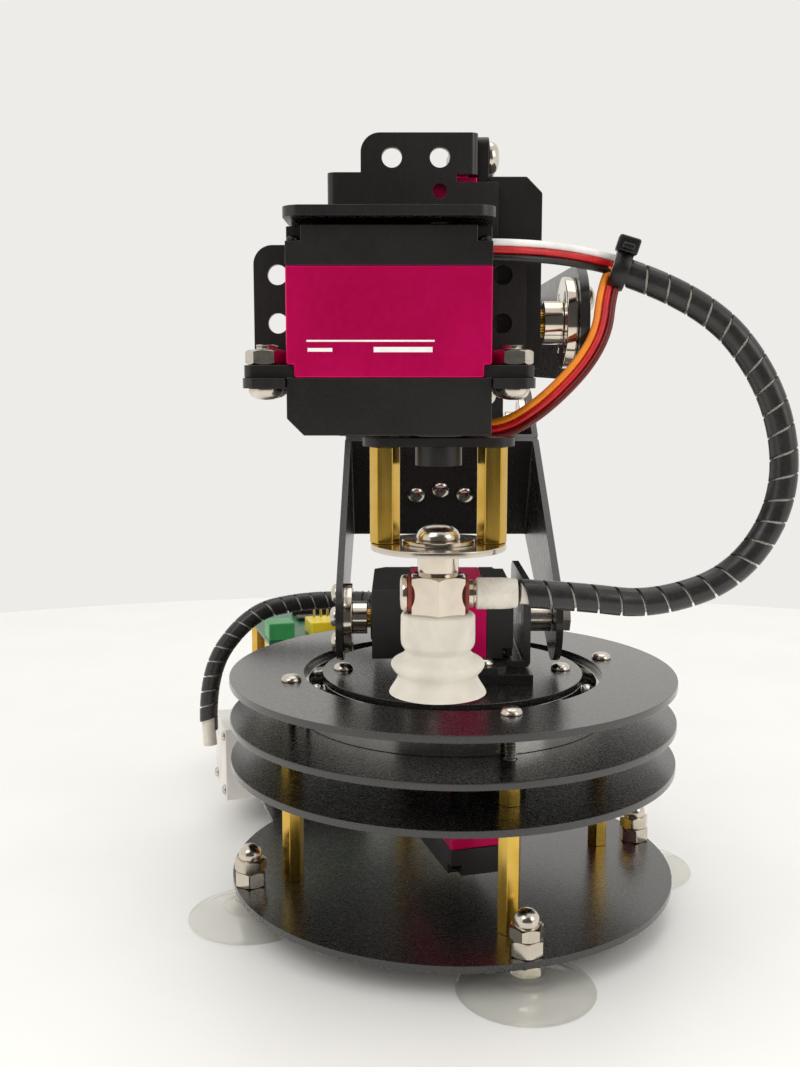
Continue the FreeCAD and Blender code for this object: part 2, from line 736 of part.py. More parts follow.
# ring bearing: the balls sit in the outer ring's channel, and the inner ring runs clear of them
ball_mid = "bearing_height / 2"
race_low = "%s - ball_diameter / 2" % ball_mid
race_high = "%s + ball_diameter / 2" % ball_mid
race_wall = "(%s + race_gap) / 2" % race_circle
race_deep = "(%s + ball_diameter) / 2" % race_circle
outer_ring = turned("outer_ring", [
    (race_wall, "0"),
    ("bearing_outer / 2", "0"),
    ("bearing_outer / 2", "bearing_height"),
    (race_wall, "bearing_height"),
    (race_wall, race_high),
    (race_deep, race_high),
    (race_deep, race_low),
    (race_wall, race_low),
])
node(put(outer_ring, z=bearing_top), "bearing_outer_ring")
race_wall = "(%s - race_gap) / 2" % race_circle
race_deep = "(%s - ball_diameter) / 2 - race_clear" % race_circle
inner_ring = turned("inner_ring", [
    ("bearing_bore / 2", "ring_lift"),
    (race_wall, "ring_lift"),
    (race_wall, "%s - race_clear" % race_low),
    (race_deep, "%s - race_clear" % race_low),
    (race_deep, "%s + race_clear" % race_high),
    (race_wall, "%s + race_clear" % race_high),
    (race_wall, "bearing_height"),
    ("bearing_bore / 2", "bearing_height"),
])
ball_count = 12
balls = []
for step in range(ball_count):
    ball = doc.addObject("Part::Sphere", "ball_%d" % step)
    bind(ball, "Radius", "ball_diameter / 2")
    angle = "360 / %d * %d" % (ball_count, step)
    put(ball, "%s / 2 * cos(%s)" % (race_circle, angle), "%s / 2 * sin(%s)" % (race_circle, angle), ball_mid)
    balls.append(ball)
node(put(group("bearing_balls", balls), z=bearing_top), "bearing_balls")

base_servo_turn = facing((0, -1, 0), (1, 0, 0), (0, 0, 1))
base_covers = group("base_covers", [copy("base_covers_copy", servo_covers, z=base_cap, turn=base_servo_turn)])
node(spun(base_covers, "base_turn"), "base_servo_covers")
base_case = group("base_case", [copy("base_case_copy", mid_case, z=base_cap, turn=base_servo_turn)])
node(spun(base_case, "base_turn"), "base_servo_case")

# pump and control board on the tail
head_box = block("pump_head_box",
                 ("-pump_side - pump_head_width", "pump_back - pump_head_depth / 2", base_top),
                 ("pump_head_width", "pump_head_depth", "pump_head_height"))
barb_spot = ("-pump_side - pump_head_width / 2", "pump_back", "%s + pump_head_height" % base_top)
head_barb = rod("pump_barb", barb_spot, "loom_diameter / 3", "loom_diameter")
node(spun(fuse("pump_head_solid", [head_box, head_barb]), "base_turn"), "pump_head")
motor = rod("pump_motor_can", ("-pump_side", "pump_back", "%s + pump_head_height / 2" % base_top),
            "pump_motor_diameter / 2", "pump_motor_length", "x")
node(spun(group("pump_motor_set", [motor]), "base_turn"), "pump_motor")
board_low = "(%s + board_height)" % base_top
board_top = "(%s + board_thick)" % board_low
board = block("board_slab", ("-board_width / 2", "board_front", board_low),
              ("board_width", "board_depth", "board_thick"))
node(spun(group("control_board_set", [board]), "base_turn"), "control_board")
terminal = block("terminal_block", ("-board_width / 2", "board_front", board_top),
                 ("board_width / 8", "board_depth / 5", "board_thick * 4"))
node(spun(group("terminal_set", [terminal]), "base_turn"), "board_terminal")
socket = block("socket_block", ("-board_width * 0.29", "board_front + board_thick", board_top),
               ("board_width / 5", "board_depth / 4", "board_thick * 3.5"))
node(spun(group("socket_set", [socket]), "base_turn"), "power_socket")
for x in ("-board_width / 2 + board_inset", "board_width / 2 - board_inset"):
    for y in ("board_front + board_inset", "board_front + board_depth - board_inset"):
        standoffs.append(hexagon("board_post_%d" % len(standoffs), (x, y, base_top), "standoff_flats",
                                 "board_height"))
node(spun(group("plate_standoff_set", standoffs), "base_turn"), "plate_standoffs")

# turntable: disc on the inner ring, horn under it, riser and shoulder servo on it
ring_spots = [("%sring_screw_span / 2" % side, "0") for side in ("-", "")]
disc_holes = [(x, y, "small_screw / 2 + hole_clear") for x, y in horn_spots + ring_spots]
disc = sheet_plate("turntable", [(rings, [("0", "0", race_wall)])], "turntable_thick", [(rings, disc_holes)])
node(put(disc, z=top_low), "turntable_disc")
node(put(inner_ring, z=bearing_top), "bearing_inner_ring")
node(copy("base_horn_copy", horn_turned, z="%s - horn_reach" % top_low), "base_horn")
node(rod("base_spline", ("0", "0", "%s - shaft_sink" % base_cap), "shaft_diameter / 2",
         "%s - horn_reach + spline_reach - %s + shaft_sink" % (top_low, base_cap)), "base_shaft")
bracket_left = "(%s - (%s))" % (shoulder_cap, ear_low)
riser_box = block("riser_box", (bracket_left, ear_near, table_top),
                  ("bracket_span", "ear_span", "riser_thick"))
riser_holes = []
for step, (x, y) in enumerate(horn_spots):
    riser_holes.append(rod("riser_hole_%d" % step, (x, y, table_top), "small_head / 2 + hole_clear",
                           "riser_thick"))
riser_spots = []
for y in ("%s + tab_inset" % ear_near, "%s - tab_inset" % ear_far):
    for lane in ("tab_start", "tab_start + tab_pitch"):
        riser_spots.append(("%s + %s" % (bracket_left, lane), y))
for step, (x, y) in enumerate(riser_spots):
    riser_holes.append(rod("riser_tap_%d" % step, (x, y, table_top), "small_screw / 2", "riser_thick"))
node(carve("riser_plate_solid", riser_box, riser_holes), "riser_plate")
at_shoulder = (shoulder_cap, "0", shoulder_z)
node(copy("shoulder_bracket_copy", servo_bracket, *at_shoulder, turn=shoulder_turn), "shoulder_bracket")
node(copy("shoulder_covers_copy", servo_covers, *at_shoulder, turn=shoulder_turn), "shoulder_servo_covers")
node(copy("shoulder_case_copy", mid_case, *at_shoulder, turn=shoulder_turn), "shoulder_servo_case")
shoulder_gap = "(arm_inner - arm_left - (%s - (%s)))" % (shoulder_cap, idler_face)
shoulder_pivot = pivot("shoulder_pivot", shoulder_gap)
table_bolts = [
    copy("shoulder_bolts_copy", ear_bolt_set, *at_shoulder, turn=shoulder_turn),
    copy("shoulder_pivot_copy", shoulder_pivot, *at_shoulder, turn=shoulder_turn),
]
for step, (x, y) in enumerate(horn_spots):
    table_bolts.append(screw("table_screw_%d" % step, x, y, table_top, "turntable_thick + horn_thick", 1))
for step, (x, y) in enumerate(riser_spots):
    table_bolts.append(screw("riser_screw_%d" % step, x, y, "%s + fold_thick" % riser_top,
                             "fold_thick + riser_thick", 1))
for step, (x, y) in enumerate(ring_spots):
    table_bolts.append(screw("ring_screw_%d" % step, x, y, table_top, "turntable_thick", 1))
node(group("turntable_bolts", table_bolts), "turntable_bolts")

# upper arm, upright about the shoulder axis and then leaned back: a U bracket whose legs widen to
# its web, and a shorter yoke bolted behind that web
leg_low = "(-arm_left - fold_thick)"
arm_outer = "(arm_inner + 2 * fold_thick)"
front_edge = "-leg_width / 2"


def channel(name, low, span, outline, eye, role, hollow):
    # U bracket: side outline and round eye padded across, then hollowed between its legs
    body = doc.addObject("PartDesign::Body", name)
    side = sketch_on(body, name + "_side", "YZ_Plane", low)
    loop(side, outline)
    pad(body, name + "_side_pad", side, span)
    end = sketch_on(body, name + "_eye", "YZ_Plane", low)
    rings(end, [eye])
    pad(body, name + "_eye_pad", end, span)
    inside = sketch_on(body, name + "_inside", role)
    loop(inside, hollow)
    pocket(body, name + "_hollow", inside)
    return body


def through(name, spots, radius, x, length):
    return [rod("%s_%d" % (name, step), (x, y, z), radius, length, "x") for step, (y, z) in enumerate(spots)]


def placed_arm(item, label):
    item.Placement = FreeCAD.Placement(FreeCAD.Vector(0, 0, 0), arm_turn)
    bind(item, "Placement.Rotation.Angle", "arm_lean")
    bind(item, "Placement.Base.z", shoulder_z)
    return node(item, label)


web_high = "((web_drop - leg_width / 2) / 2)"
web_low = "(leg_width / 2 - small_head / 2)"
web_screws = [("0", web_high), ("-tab_pitch * 0.84", web_low), ("tab_pitch * 0.84", web_low)]
web_middle = "(arm_inner / 2 - arm_left)"
arm_low = "(-arm_left)"
arm_high = "(arm_inner - arm_left)"
leg_high = "(%s + fold_thick)" % arm_high
web_top = "(%s + fold_thick)" % web_reach
arm_channel = channel("arm_channel", leg_low, arm_outer, [
    (front_edge, "0"),
    ("leg_width / 2", "0"),
    ("web_drop", "%s - fold_thick" % web_reach),
    ("web_drop", web_top),
    (front_edge, web_top),
], ("0", "0", "leg_width / 2"), "XZ_Plane", [
    (arm_low, "-leg_width"),
    (arm_high, "-leg_width"),
    (arm_high, web_reach),
    (arm_low, web_reach),
])
rounded(arm_channel, "arm_bends", "fold_round", 1, [(leg_low, web_top), (leg_high, web_top)])
rounded(arm_channel, "arm_throats", "fold_inner", 1, [(arm_low, web_reach), (arm_high, web_reach)])
arm_holes = through("arm_horn_hole", horn_spots, "small_screw / 2 + hole_clear", leg_low, "fold_thick")
arm_holes.append(rod("arm_pivot_hole", (arm_high, "0", "0"), "bolt_diameter / 2", "fold_thick", "x"))
web_tools = []
for step, (x, y) in enumerate(web_screws):
    web_tools.append(rod("web_hole_%d" % step, ("%s + %s" % (web_middle, x), y, web_reach),
                         "small_screw / 2 + hole_clear", "2 * fold_thick"))
placed_arm(carve("arm_bracket", arm_channel, arm_holes + web_tools), "upper_arm_bracket")

yoke_inside = "(%s + fold_thick)" % web_top
yoke_channel = channel("yoke_channel", leg_low, arm_outer, [
    (front_edge, web_top),
    ("leg_width / 2", web_top),
    ("leg_width / 2", "arm_length"),
    (front_edge, "arm_length"),
], ("0", "arm_length", "leg_width / 2"), "XZ_Plane", [
    (arm_low, yoke_inside),
    (arm_high, yoke_inside),
    (arm_high, "arm_length + leg_width"),
    (arm_low, "arm_length + leg_width"),
])
rounded(yoke_channel, "yoke_bends", "fold_round", 1, [(leg_low, web_top), (leg_high, web_top)])
rounded(yoke_channel, "yoke_throats", "fold_inner", 1, [(arm_low, yoke_inside), (arm_high, yoke_inside)])
elbow_side = [(y, "arm_length + %s" % z) for y, z in horn_spots]
yoke_holes = through("yoke_horn_hole", elbow_side, "small_screw / 2 + hole_clear", arm_high,
                     "fold_thick")
yoke_holes.append(rod("yoke_pivot_hole", (leg_low, "0", "arm_length"), "bolt_diameter / 2",
                      "fold_thick", "x"))
placed_arm(carve("yoke_bracket", yoke_channel, yoke_holes + web_tools), "elbow_yoke")
at_elbow = (elbow_cap, elbow_y, elbow_z)
for label, master, spot, turn in (
    ("shoulder_horn", horn_turned, (shoulder_cap, "0", "0"), shoulder_turn),
    ("shoulder_shaft", spline, (shoulder_cap, "0", "0"), shoulder_turn),
    ("elbow_horn", horn_turned, (elbow_cap, "0", "arm_length"), pitch_turn),
    ("elbow_shaft", spline, (elbow_cap, "0", "arm_length"), pitch_turn),
):
    placed_arm(group(label + "_set", [copy(label + "_copy", master, *spot, turn=turn)]), label)


def horn_screws(name, at_x, spots, way):
    # screws along x through a leg into a horn: heads outside, away from the horn
    made = []
    for step, (y, z) in enumerate(spots):
        grip = "fold_thick + horn_thick"
        if way < 0:
            head = taper("%s_head_%d" % (name, step), ("%s - small_rise" % at_x, y, z),
                         "small_head / 2 * 0.75", "small_head / 2", "small_rise", "x")
            shank = rod("%s_shank_%d" % (name, step), (at_x, y, z), "small_screw / 2 - thread_clear",
                        grip, "x")
        else:
            head = taper("%s_head_%d" % (name, step), (at_x, y, z), "small_head / 2", "small_head / 2 * 0.75",
                         "small_rise", "x")
            shank = rod("%s_shank_%d" % (name, step), ("%s - (%s)" % (at_x, grip), y, z),
                        "small_screw / 2 - thread_clear", grip, "x")
        made.append(fuse("%s_%d" % (name, step), [head, shank]))
    return made


arm_screws = horn_screws("arm_screw", leg_low, horn_spots, -1)
arm_screws += horn_screws("yoke_screw", leg_high, elbow_side, 1)
for step, (x, y) in enumerate(web_screws):
    arm_screws.append(screw("web_screw_%d" % step, "%s + %s" % (web_middle, x), y, web_reach,
                            "2 * fold_thick + small_rise", -1))
placed_arm(group("arm_screw_set", arm_screws), "upper_arm_screws")

# forearm: long U bracket on the front of the elbow servo's bracket
fore_low = "(forearm_right - forearm_inner - fold_thick)"
fore_back = "(%s - %s)" % (elbow_y, shell_reach)
fore_inside = "(%s - fold_thick)" % fore_back
fore_left = "(%s + fold_thick)" % fore_low
fore_high = "(forearm_right + fold_thick)"
leg_under = "(%s - leg_width / 2)" % wrist_z
leg_over = "(%s + leg_width / 2)" % wrist_z
fore_channel = channel("fore_channel", fore_low, "forearm_inner + 2 * fold_thick", [
    (wrist_y, leg_under),
    (fore_back, leg_under),
    (fore_back, leg_over),
    (wrist_y, leg_over),
], (wrist_y, wrist_z, "leg_width / 2"), "XY_Plane", [
    (fore_left, "%s - leg_width" % wrist_y),
    ("forearm_right", "%s - leg_width" % wrist_y),
    ("forearm_right", fore_inside),
    (fore_left, fore_inside),
])
rounded(fore_channel, "fore_bends", "fold_round", 2, [(fore_low, fore_back), (fore_high, fore_back)])
rounded(fore_channel, "fore_throats", "fold_inner", 2,
        [(fore_left, fore_inside), ("forearm_right", fore_inside)])
fore_side = [("%s + %s" % (wrist_y, y), "%s + %s" % (wrist_z, z)) for y, z in horn_spots]
fore_holes = through("fore_horn_hole", fore_side, "small_screw / 2 + hole_clear", "forearm_right",
                     "fold_thick")
fore_holes.append(rod("fore_pivot_hole", (fore_low, wrist_y, wrist_z), "bolt_diameter / 2",
                      "fold_thick", "x"))
fore_joint = []
for lane in ("tab_start", "tab_start + tab_pitch"):
    fore_joint.append(("%s + (%s) - (%s)" % (elbow_cap, ear_low, lane),
                       "%s + %s - tab_inset" % (elbow_z, ear_far)))
for step, (x, z) in enumerate(fore_joint):
    fore_holes.append(rod("fore_joint_hole_%d" % step, (x, "%s - fold_thick" % fore_back, z), "tab_hole / 2",
                          "fold_thick", "y"))
node(carve("fore_bracket", fore_channel, fore_holes), "forearm_bracket")
node(copy("elbow_bracket_copy", servo_bracket, *at_elbow, turn=pitch_turn), "elbow_bracket")
node(copy("elbow_covers_copy", servo_covers, *at_elbow, turn=pitch_turn), "elbow_servo_covers")
node(copy("elbow_case_copy", mid_case, *at_elbow, turn=pitch_turn), "elbow_servo_case")
elbow_gap = "(arm_left + %s + (%s))" % (elbow_cap, idler_face)
elbow_pivot = pivot("elbow_pivot", elbow_gap)
fore_bolts = [
    copy("elbow_bolts_copy", ear_bolt_set, *at_elbow, turn=pitch_turn),
    copy("elbow_pivot_copy", elbow_pivot, *at_elbow, turn=pitch_turn),
]
for step, (x, z) in enumerate(fore_joint):
    low = "%s - fold_thick" % fore_back
    head = taper("fore_joint_head_%d" % step, (x, "%s - small_rise" % low, z), "small_head / 2 * 0.75",
                 "small_head / 2", "small_rise", "y")
    shank = rod("fore_joint_shank_%d" % step, (x, low, z), "tab_hole / 2 - hole_clear", "2 * fold_thick", "y")
    fore_bolts.append(fuse("fore_joint_%d" % step, [head, shank]))
fore_bolts += horn_screws("fore_screw", "forearm_right + fold_thick", fore_side, 1)
node(group("forearm_bolt_set", fore_bolts), "forearm_bolts")
at_wrist = (wrist_cap, wrist_y, wrist_z)
node(copy("pitch_horn_copy", horn_turned, *at_wrist, turn=pitch_turn), "pitch_horn")
node(copy("pitch_shaft_copy", spline, *at_wrist, turn=pitch_turn), "pitch_shaft")

# wrist: pitch servo and yaw servo back to back
node(copy("pitch_bracket_copy", servo_bracket, *at_wrist, turn=pitch_turn), "pitch_bracket")
node(copy("pitch_covers_copy", servo_covers, *at_wrist, turn=pitch_turn), "pitch_servo_covers")
node(copy("pitch_case_copy", mid_case, *at_wrist, turn=pitch_turn), "pitch_servo_case")
at_yaw = ("-tool_offset", tool_y, yaw_cap)
yaw_face = "(fold_thick - gear_depth)"
yaw_bracket = bracket("yaw_bracket_solid", yaw_face, "yaw_span", "yaw_tab", "yaw_tab_start")
node(copy("yaw_bracket_copy", yaw_bracket, *at_yaw, turn=yaw_turn), "yaw_bracket")
node(copy("yaw_covers_copy", servo_covers, *at_yaw, turn=yaw_turn), "yaw_servo_covers")
node(copy("yaw_case_copy", mid_case, *at_yaw, turn=yaw_turn), "yaw_servo_case")
pitch_gap = "(%s + (%s) - (%s) - fold_thick)" % (wrist_cap, idler_face, fore_low)
pitch_pivot = pivot("pitch_pivot", pitch_gap)
wrist_bolts = [
    copy("pitch_bolts_copy", ear_bolt_set, *at_wrist, turn=pitch_turn),
    copy("yaw_bolts_copy", yaw_bolt_set, *at_yaw, turn=yaw_turn),
    copy("pitch_pivot_copy", pitch_pivot, *at_wrist, turn=pitch_turn),
]
node(group("wrist_bolt_set", wrist_bolts), "wrist_bolts")

# tool: horn bar on the yaw spline, two hex pillars, round plate, vacuum fitting and bellows cup
tool_x = "(-tool_offset)"
horn_top = "(%s - boss_height - pivot_clear)" % yaw_cap
horn_low = "(%s - tool_horn_thick)" % horn_top
hub_low = "(%s - spline_reach - fold_thick / 2)" % yaw_cap
tool_spots = ["%s %s tool_pillar_span / 2" % (tool_x, side) for side in ("-", "+")]
bar = block("tool_bar", ("%s - tool_pillar_span / 2" % tool_x, "%s - tool_horn_width / 2" % tool_y, horn_low),
            ("tool_pillar_span", "tool_horn_width", "tool_horn_thick"))
ends = [rod("tool_bar_end_%d" % step, (x, tool_y, horn_low), "tool_horn_width / 2", "tool_horn_thick")
        for step, x in enumerate(tool_spots)]
hub = rod("tool_hub", (tool_x, tool_y, hub_low), "hub_diameter / 2", "%s - %s" % (horn_low, hub_low))
tool_spline = rod("tool_spline", (tool_x, tool_y, "%s - spline_reach" % yaw_cap), "shaft_diameter / 2",
                  "spline_reach + shaft_sink")
node(fuse("tool_horn_solid", [bar, hub, tool_spline] + ends), "tool_horn")
pillar_low = "(%s - tool_pillar_length)" % horn_low
tool_pillars = []
for step, x in enumerate(tool_spots):
    tool_pillars.append(hexagon("tool_pillar_%d" % step, (x, tool_y, pillar_low), "standoff_flats",
                                "tool_pillar_length"))
node(group("tool_pillar_set", tool_pillars), "tool_standoffs")
plate_low = "(%s - tool_plate_thick)" % pillar_low
tool_plate = sheet_plate("tool_plate_body", [(rings, [("0", "0", "tool_plate_diameter / 2")])],
                         "tool_plate_thick", [(rings, [("0", "0", "tool_screw_shank / 2 + hole_clear")])])
node(put(tool_plate, tool_x, tool_y, plate_low), "tool_plate")
dome = turned("tool_dome", [
    ("0", "-tool_plate_thick - neck_length / 2"),
    ("tool_screw_shank / 2 - thread_clear", "-tool_plate_thick - neck_length / 2"),
    ("tool_screw_shank / 2 - thread_clear", "0"),
    ("screw_washer / 2", "0"),
    ("screw_washer / 2", "screw_washer_thick"),
    ("tool_screw_head / 2", "screw_washer_thick"),
    ("tool_screw_head / 2", "screw_washer_thick + tool_screw_rise * 0.35"),
    ("tool_screw_head * 0.4", "screw_washer_thick + tool_screw_rise * 0.75"),
    ("tool_screw_head * 0.22", "screw_washer_thick + tool_screw_rise"),
    ("0", "screw_washer_thick + tool_screw_rise"),
])
node(put(dome, tool_x, tool_y, pillar_low), "tool_screw")
fitting_low = "(%s - neck_length - fitting_height)" % plate_low
fitting_mid = "(%s + fitting_height / 2)" % fitting_low
flat_half = "fitting_flats / 2"
neck = rod("fitting_neck", (tool_x, tool_y, "%s - neck_length" % plate_low), "neck_diameter / 2",
           "neck_length")
body_hex = hexagon("fitting_hex", (tool_x, tool_y, fitting_low), "fitting_flats", "fitting_height")
body_hex.Placement.Rotation = FreeCAD.Rotation(FreeCAD.Vector(0, 0, 1), 30)
socket_hole = rod("fitting_socket", (tool_x, tool_y, "%s - neck_length" % plate_low), "tool_screw_shank / 2",
                  "neck_length")
plug = rod("fitting_plug", ("%s - %s - washer_thick - plug_thick" % (tool_x, flat_half), tool_y, fitting_mid),
           "plug_diameter / 2", "plug_thick", "x")
plug_pin = rod("fitting_plug_pin", ("%s - %s - washer_thick" % (tool_x, flat_half), tool_y, fitting_mid),
               "washer_diameter / 3", "washer_thick + plug_thick", "x")
barb = rod("fitting_barb", ("%s + %s - plug_thick" % (tool_x, flat_half), tool_y, fitting_mid),
           "washer_diameter / 3", "plug_thick + washer_thick", "x")
barb_tube = rod("fitting_tube", ("%s + %s + washer_thick" % (tool_x, flat_half), tool_y, fitting_mid),
                "barb_diameter / 2", "barb_end - %s - washer_thick" % flat_half, "x")
cup_hole = rod("fitting_bore", (tool_x, tool_y, fitting_low), "vacuum_bore / 2", "fitting_height / 2")
core = carve("fitting_bored", fuse("fitting_core", [neck, body_hex]), [socket_hole, cup_hole])
node(fuse("fitting_solid", [core, plug, plug_pin, barb]), "vacuum_fitting")
node(barb_tube, "hose_stub")
washers = []
for step, x in enumerate(("%s - %s - washer_thick" % (tool_x, flat_half), "%s + %s" % (tool_x, flat_half))):
    ring = rod("washer_ring_%d" % step, (x, tool_y, fitting_mid), "washer_diameter / 2", "washer_thick", "x")
    bore = rod("washer_bore_%d" % step, (x, tool_y, fitting_mid), "washer_diameter / 3 + thread_clear",
               "washer_thick", "x")
    washers.append(carve("washer_%d" % step, ring, [bore]))
node(group("washer_set", washers), "fibre_washers")
# bellows cup, turned: sleeve, waist, bellows fold, groove and thin lip round an open hollow
cup = turned("bellows", [
    ("vacuum_bore / 2", "0"),
    ("vacuum_cup_diameter * 0.38", "0"),
    ("vacuum_cup_diameter * 0.38", "-vacuum_cup_height * 0.42"),
    ("vacuum_cup_diameter * 0.335", "-vacuum_cup_height * 0.48"),
    ("vacuum_cup_diameter * 0.48", "-vacuum_cup_height * 0.6"),
    ("vacuum_cup_diameter * 0.48", "-vacuum_cup_height * 0.66"),
    ("vacuum_cup_diameter * 0.41", "-vacuum_cup_height * 0.77"),
    ("vacuum_cup_diameter / 2", "-vacuum_cup_height * 0.95"),
    ("vacuum_cup_diameter / 2", "-vacuum_cup_height"),
    ("vacuum_cup_diameter * 0.45", "-vacuum_cup_height"),
    ("vacuum_cup_diameter * 0.34", "-vacuum_cup_height * 0.8"),
    ("vacuum_cup_diameter * 0.4", "-vacuum_cup_height * 0.63"),
    ("vacuum_cup_diameter * 0.26", "-vacuum_cup_height * 0.5"),
    ("vacuum_bore / 2", "-vacuum_cup_height * 0.4"),
])
node(put(cup, tool_x, tool_y, fitting_low), "suction_cup")


def tube(label, route, diameter):
    # a cord: straight runs joined by tangent arcs, swept with a round section
    spots = [FreeCAD.Vector(*spot) for spot in route]
    edges = []
    radii = []
    start = spots[0]
    for before, corner, after in zip(spots, spots[1:], spots[2:]):
        back = (before - corner).normalize()
        ahead = (after - corner).normalize()
        half = (math.pi - back.getAngle(ahead)) / 2
        run = min((before - corner).Length, (after - corner).Length)
        cut = 0.45 * run
        radii.append(cut / math.tan(half))
        enter = corner + back * cut
        leave = corner + ahead * cut
        bisector = (back + ahead).normalize()
        centre = corner + bisector * (cut / math.sin(half))
        crest = centre - bisector * radii[-1]
        edges.append(Part.LineSegment(start, enter).toShape())
        edges.append(Part.Arc(enter, crest, leave).toShape())
        start = leave
    edges.append(Part.LineSegment(start, spots[-1]).toShape())
    path = Part.Wire(edges)
    lead = (spots[1] - spots[0]).normalize()
    section = Part.Wire([Part.makeCircle(diameter / 2, spots[0], lead)])
    solid = path.makePipeShell([section], True, True)
    item = doc.addObject("Part::Feature", label)
    item.Shape = solid
    ideal = math.pi * diameter ** 2 / 4 * path.Length
    print(label, "length %.1f" % path.Length, "radii", [round(radius, 1) for radius in radii],
          "volume %.3f of ideal" % (solid.Volume / ideal))
    return node(item, label)


# joint positions as numbers, for the cords that are routed past them
lean = math.radians(value("arm_lean"))
stack = value("foot_height") + 3 * value("plate_thick") + value("long_standoff") + value("short_standoff")
table = stack + value("bearing_height") + value("turntable_thick")
shell = value("servo_width") / 2 + value("bracket_gap") + value("fold_thick")
shoulder_up = table + value("riser_thick") + shell
wrist_at = FreeCAD.Vector(0, value("arm_length") * math.sin(lean) - value("forearm_reach"),
                          shoulder_up + value("arm_length") * math.cos(lean) + value("forearm_rise"))
yaw_end = value("shaft_inset") - value("tool_offset")
fitting_at = FreeCAD.Vector(value("barb_end") - value("tool_offset"), wrist_at.y - 2 * shell,
                            wrist_at.z - value("yaw_drop") - value("boss_height") - value("pivot_clear")
                            - value("tool_horn_thick") - value("tool_pillar_length")
                            - value("tool_plate_thick") - value("neck_length") - value("fitting_height") / 2)
tie_at = wrist_at + FreeCAD.Vector(29.8, -9.3, 11.2)
loom = value("loom_diameter")
lead = value("lead_diameter")


def from_wrist(x, y, z):
    return (wrist_at.x + x, wrist_at.y + y, wrist_at.z + z)


tube("vacuum_loom", [
    tuple(tie_at),
    from_wrist(49, -11.3, 5.2),
    from_wrist(64, -14.3, -13.8),
    from_wrist(67.5, -16.3, -35.8),
    from_wrist(57, -18.8, -53.5),
    from_wrist(38, -21.5, -59.5),
    (fitting_at.x + 13, fitting_at.y + 0.6, fitting_at.z - 0.8),
    (fitting_at.x + 2 * value("pivot_clear"), fitting_at.y, fitting_at.z),
], loom)
tube("white_lead", [
    (yaw_end, fitting_at.y, wrist_at.z + 13.5),
    (yaw_end + 10.4, fitting_at.y + 1.2, wrist_at.z + 13.5),
    tuple(tie_at + FreeCAD.Vector(-2.4, -0.7, 1.4)),
], lead)
tube("orange_lead", [
    from_wrist(-9, -4.3, -value("shaft_inset")),
    from_wrist(-9, -6.3, -19.8),
    from_wrist(3.5, -11.8, -24.3),
    from_wrist(14, -17.8, -18.8),
    from_wrist(27, -14.3, -5.3),
    tuple(tie_at + FreeCAD.Vector(-1, -0.9, -2.1)),
], lead)
shoulder_far = value("servo_length") - value("shaft_inset")
gear_mid = value("horn_reach") - value("arm_left") + value("gear_depth") / 2
tube("left_loom", [
    (gear_mid - 1, shoulder_far, shoulder_up - 3),
    (gear_mid - 1.5, shoulder_far + 17, shoulder_up - 3.5),
    (-32, shoulder_far + 28, shoulder_up - 4),
    (-49, shoulder_far + 26, shoulder_up - 4.5),
    (-66, shoulder_far + 20, shoulder_up - 9),
    (-81, shoulder_far + 16, shoulder_up - 30),
    (-79, shoulder_far + 15, shoulder_up - 53),
], loom)

# cable tie round the loom's start and the two leads
band = doc.addObject("Part::Feature", "tie_band")
along = (FreeCAD.Vector(*from_wrist(49, -11.3, 5.2)) - tie_at).normalize()
outside = Part.makeCylinder(loom / 2 + value("tie_thick"), value("tie_width"), tie_at, along)
inside = Part.makeCylinder(loom / 2, value("tie_width"), tie_at, along)
band.Shape = outside.cut(inside)
node(band, "cable_tie")

doc.recompute()
faults = [item.Name for item in doc.Objects if "Invalid" in item.State or "Error" in item.State]
for item in nodes:
    if item.Shape.isNull() or not item.Shape.isValid() or not item.Shape.Solids:
        faults.append(item.Label)
if faults:
    raise RuntimeError("unsound: " + ", ".join(faults))
os.makedirs("parts", exist_ok=True)
for item in nodes:
    item.Shape.exportStep("parts/%s.step" % item.Label)
print(len(nodes), "nodes written")
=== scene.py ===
import math

import bmesh
import bpy
from mathutils import Matrix, Vector


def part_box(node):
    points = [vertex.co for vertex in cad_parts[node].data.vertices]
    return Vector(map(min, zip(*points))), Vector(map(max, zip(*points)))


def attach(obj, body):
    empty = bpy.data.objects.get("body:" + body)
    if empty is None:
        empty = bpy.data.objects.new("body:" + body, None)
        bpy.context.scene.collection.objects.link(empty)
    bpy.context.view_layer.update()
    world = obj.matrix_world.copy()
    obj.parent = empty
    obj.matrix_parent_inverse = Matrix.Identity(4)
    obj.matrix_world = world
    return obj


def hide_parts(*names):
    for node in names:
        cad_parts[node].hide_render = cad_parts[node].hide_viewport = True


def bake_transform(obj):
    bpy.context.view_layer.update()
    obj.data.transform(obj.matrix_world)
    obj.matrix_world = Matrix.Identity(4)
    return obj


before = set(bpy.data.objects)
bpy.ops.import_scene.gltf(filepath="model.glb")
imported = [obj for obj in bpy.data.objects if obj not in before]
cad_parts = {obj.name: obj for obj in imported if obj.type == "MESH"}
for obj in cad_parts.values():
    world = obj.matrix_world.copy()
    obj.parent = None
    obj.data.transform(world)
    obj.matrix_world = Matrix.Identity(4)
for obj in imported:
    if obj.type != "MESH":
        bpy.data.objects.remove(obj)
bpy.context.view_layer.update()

# Camera, level with the wrist and close in front of it, pitched a little down. A focal length of
# 1200 px on a frame 1067 px high gives its lens.
mm = 0.001
focal_px, frame_height_px, sensor_mm = 1200, 1067, 36
camera_spot_mm, camera_pitch_deg, nearest_mm = (-15.3, -344.8, 156.9), 7.86, 10
camera_data = bpy.data.cameras.new("camera")
camera_data.sensor_width = sensor_mm
camera_data.lens = focal_px / frame_height_px * sensor_mm
camera_data.clip_start = nearest_mm * mm
camera = bpy.data.objects.new("camera", camera_data)
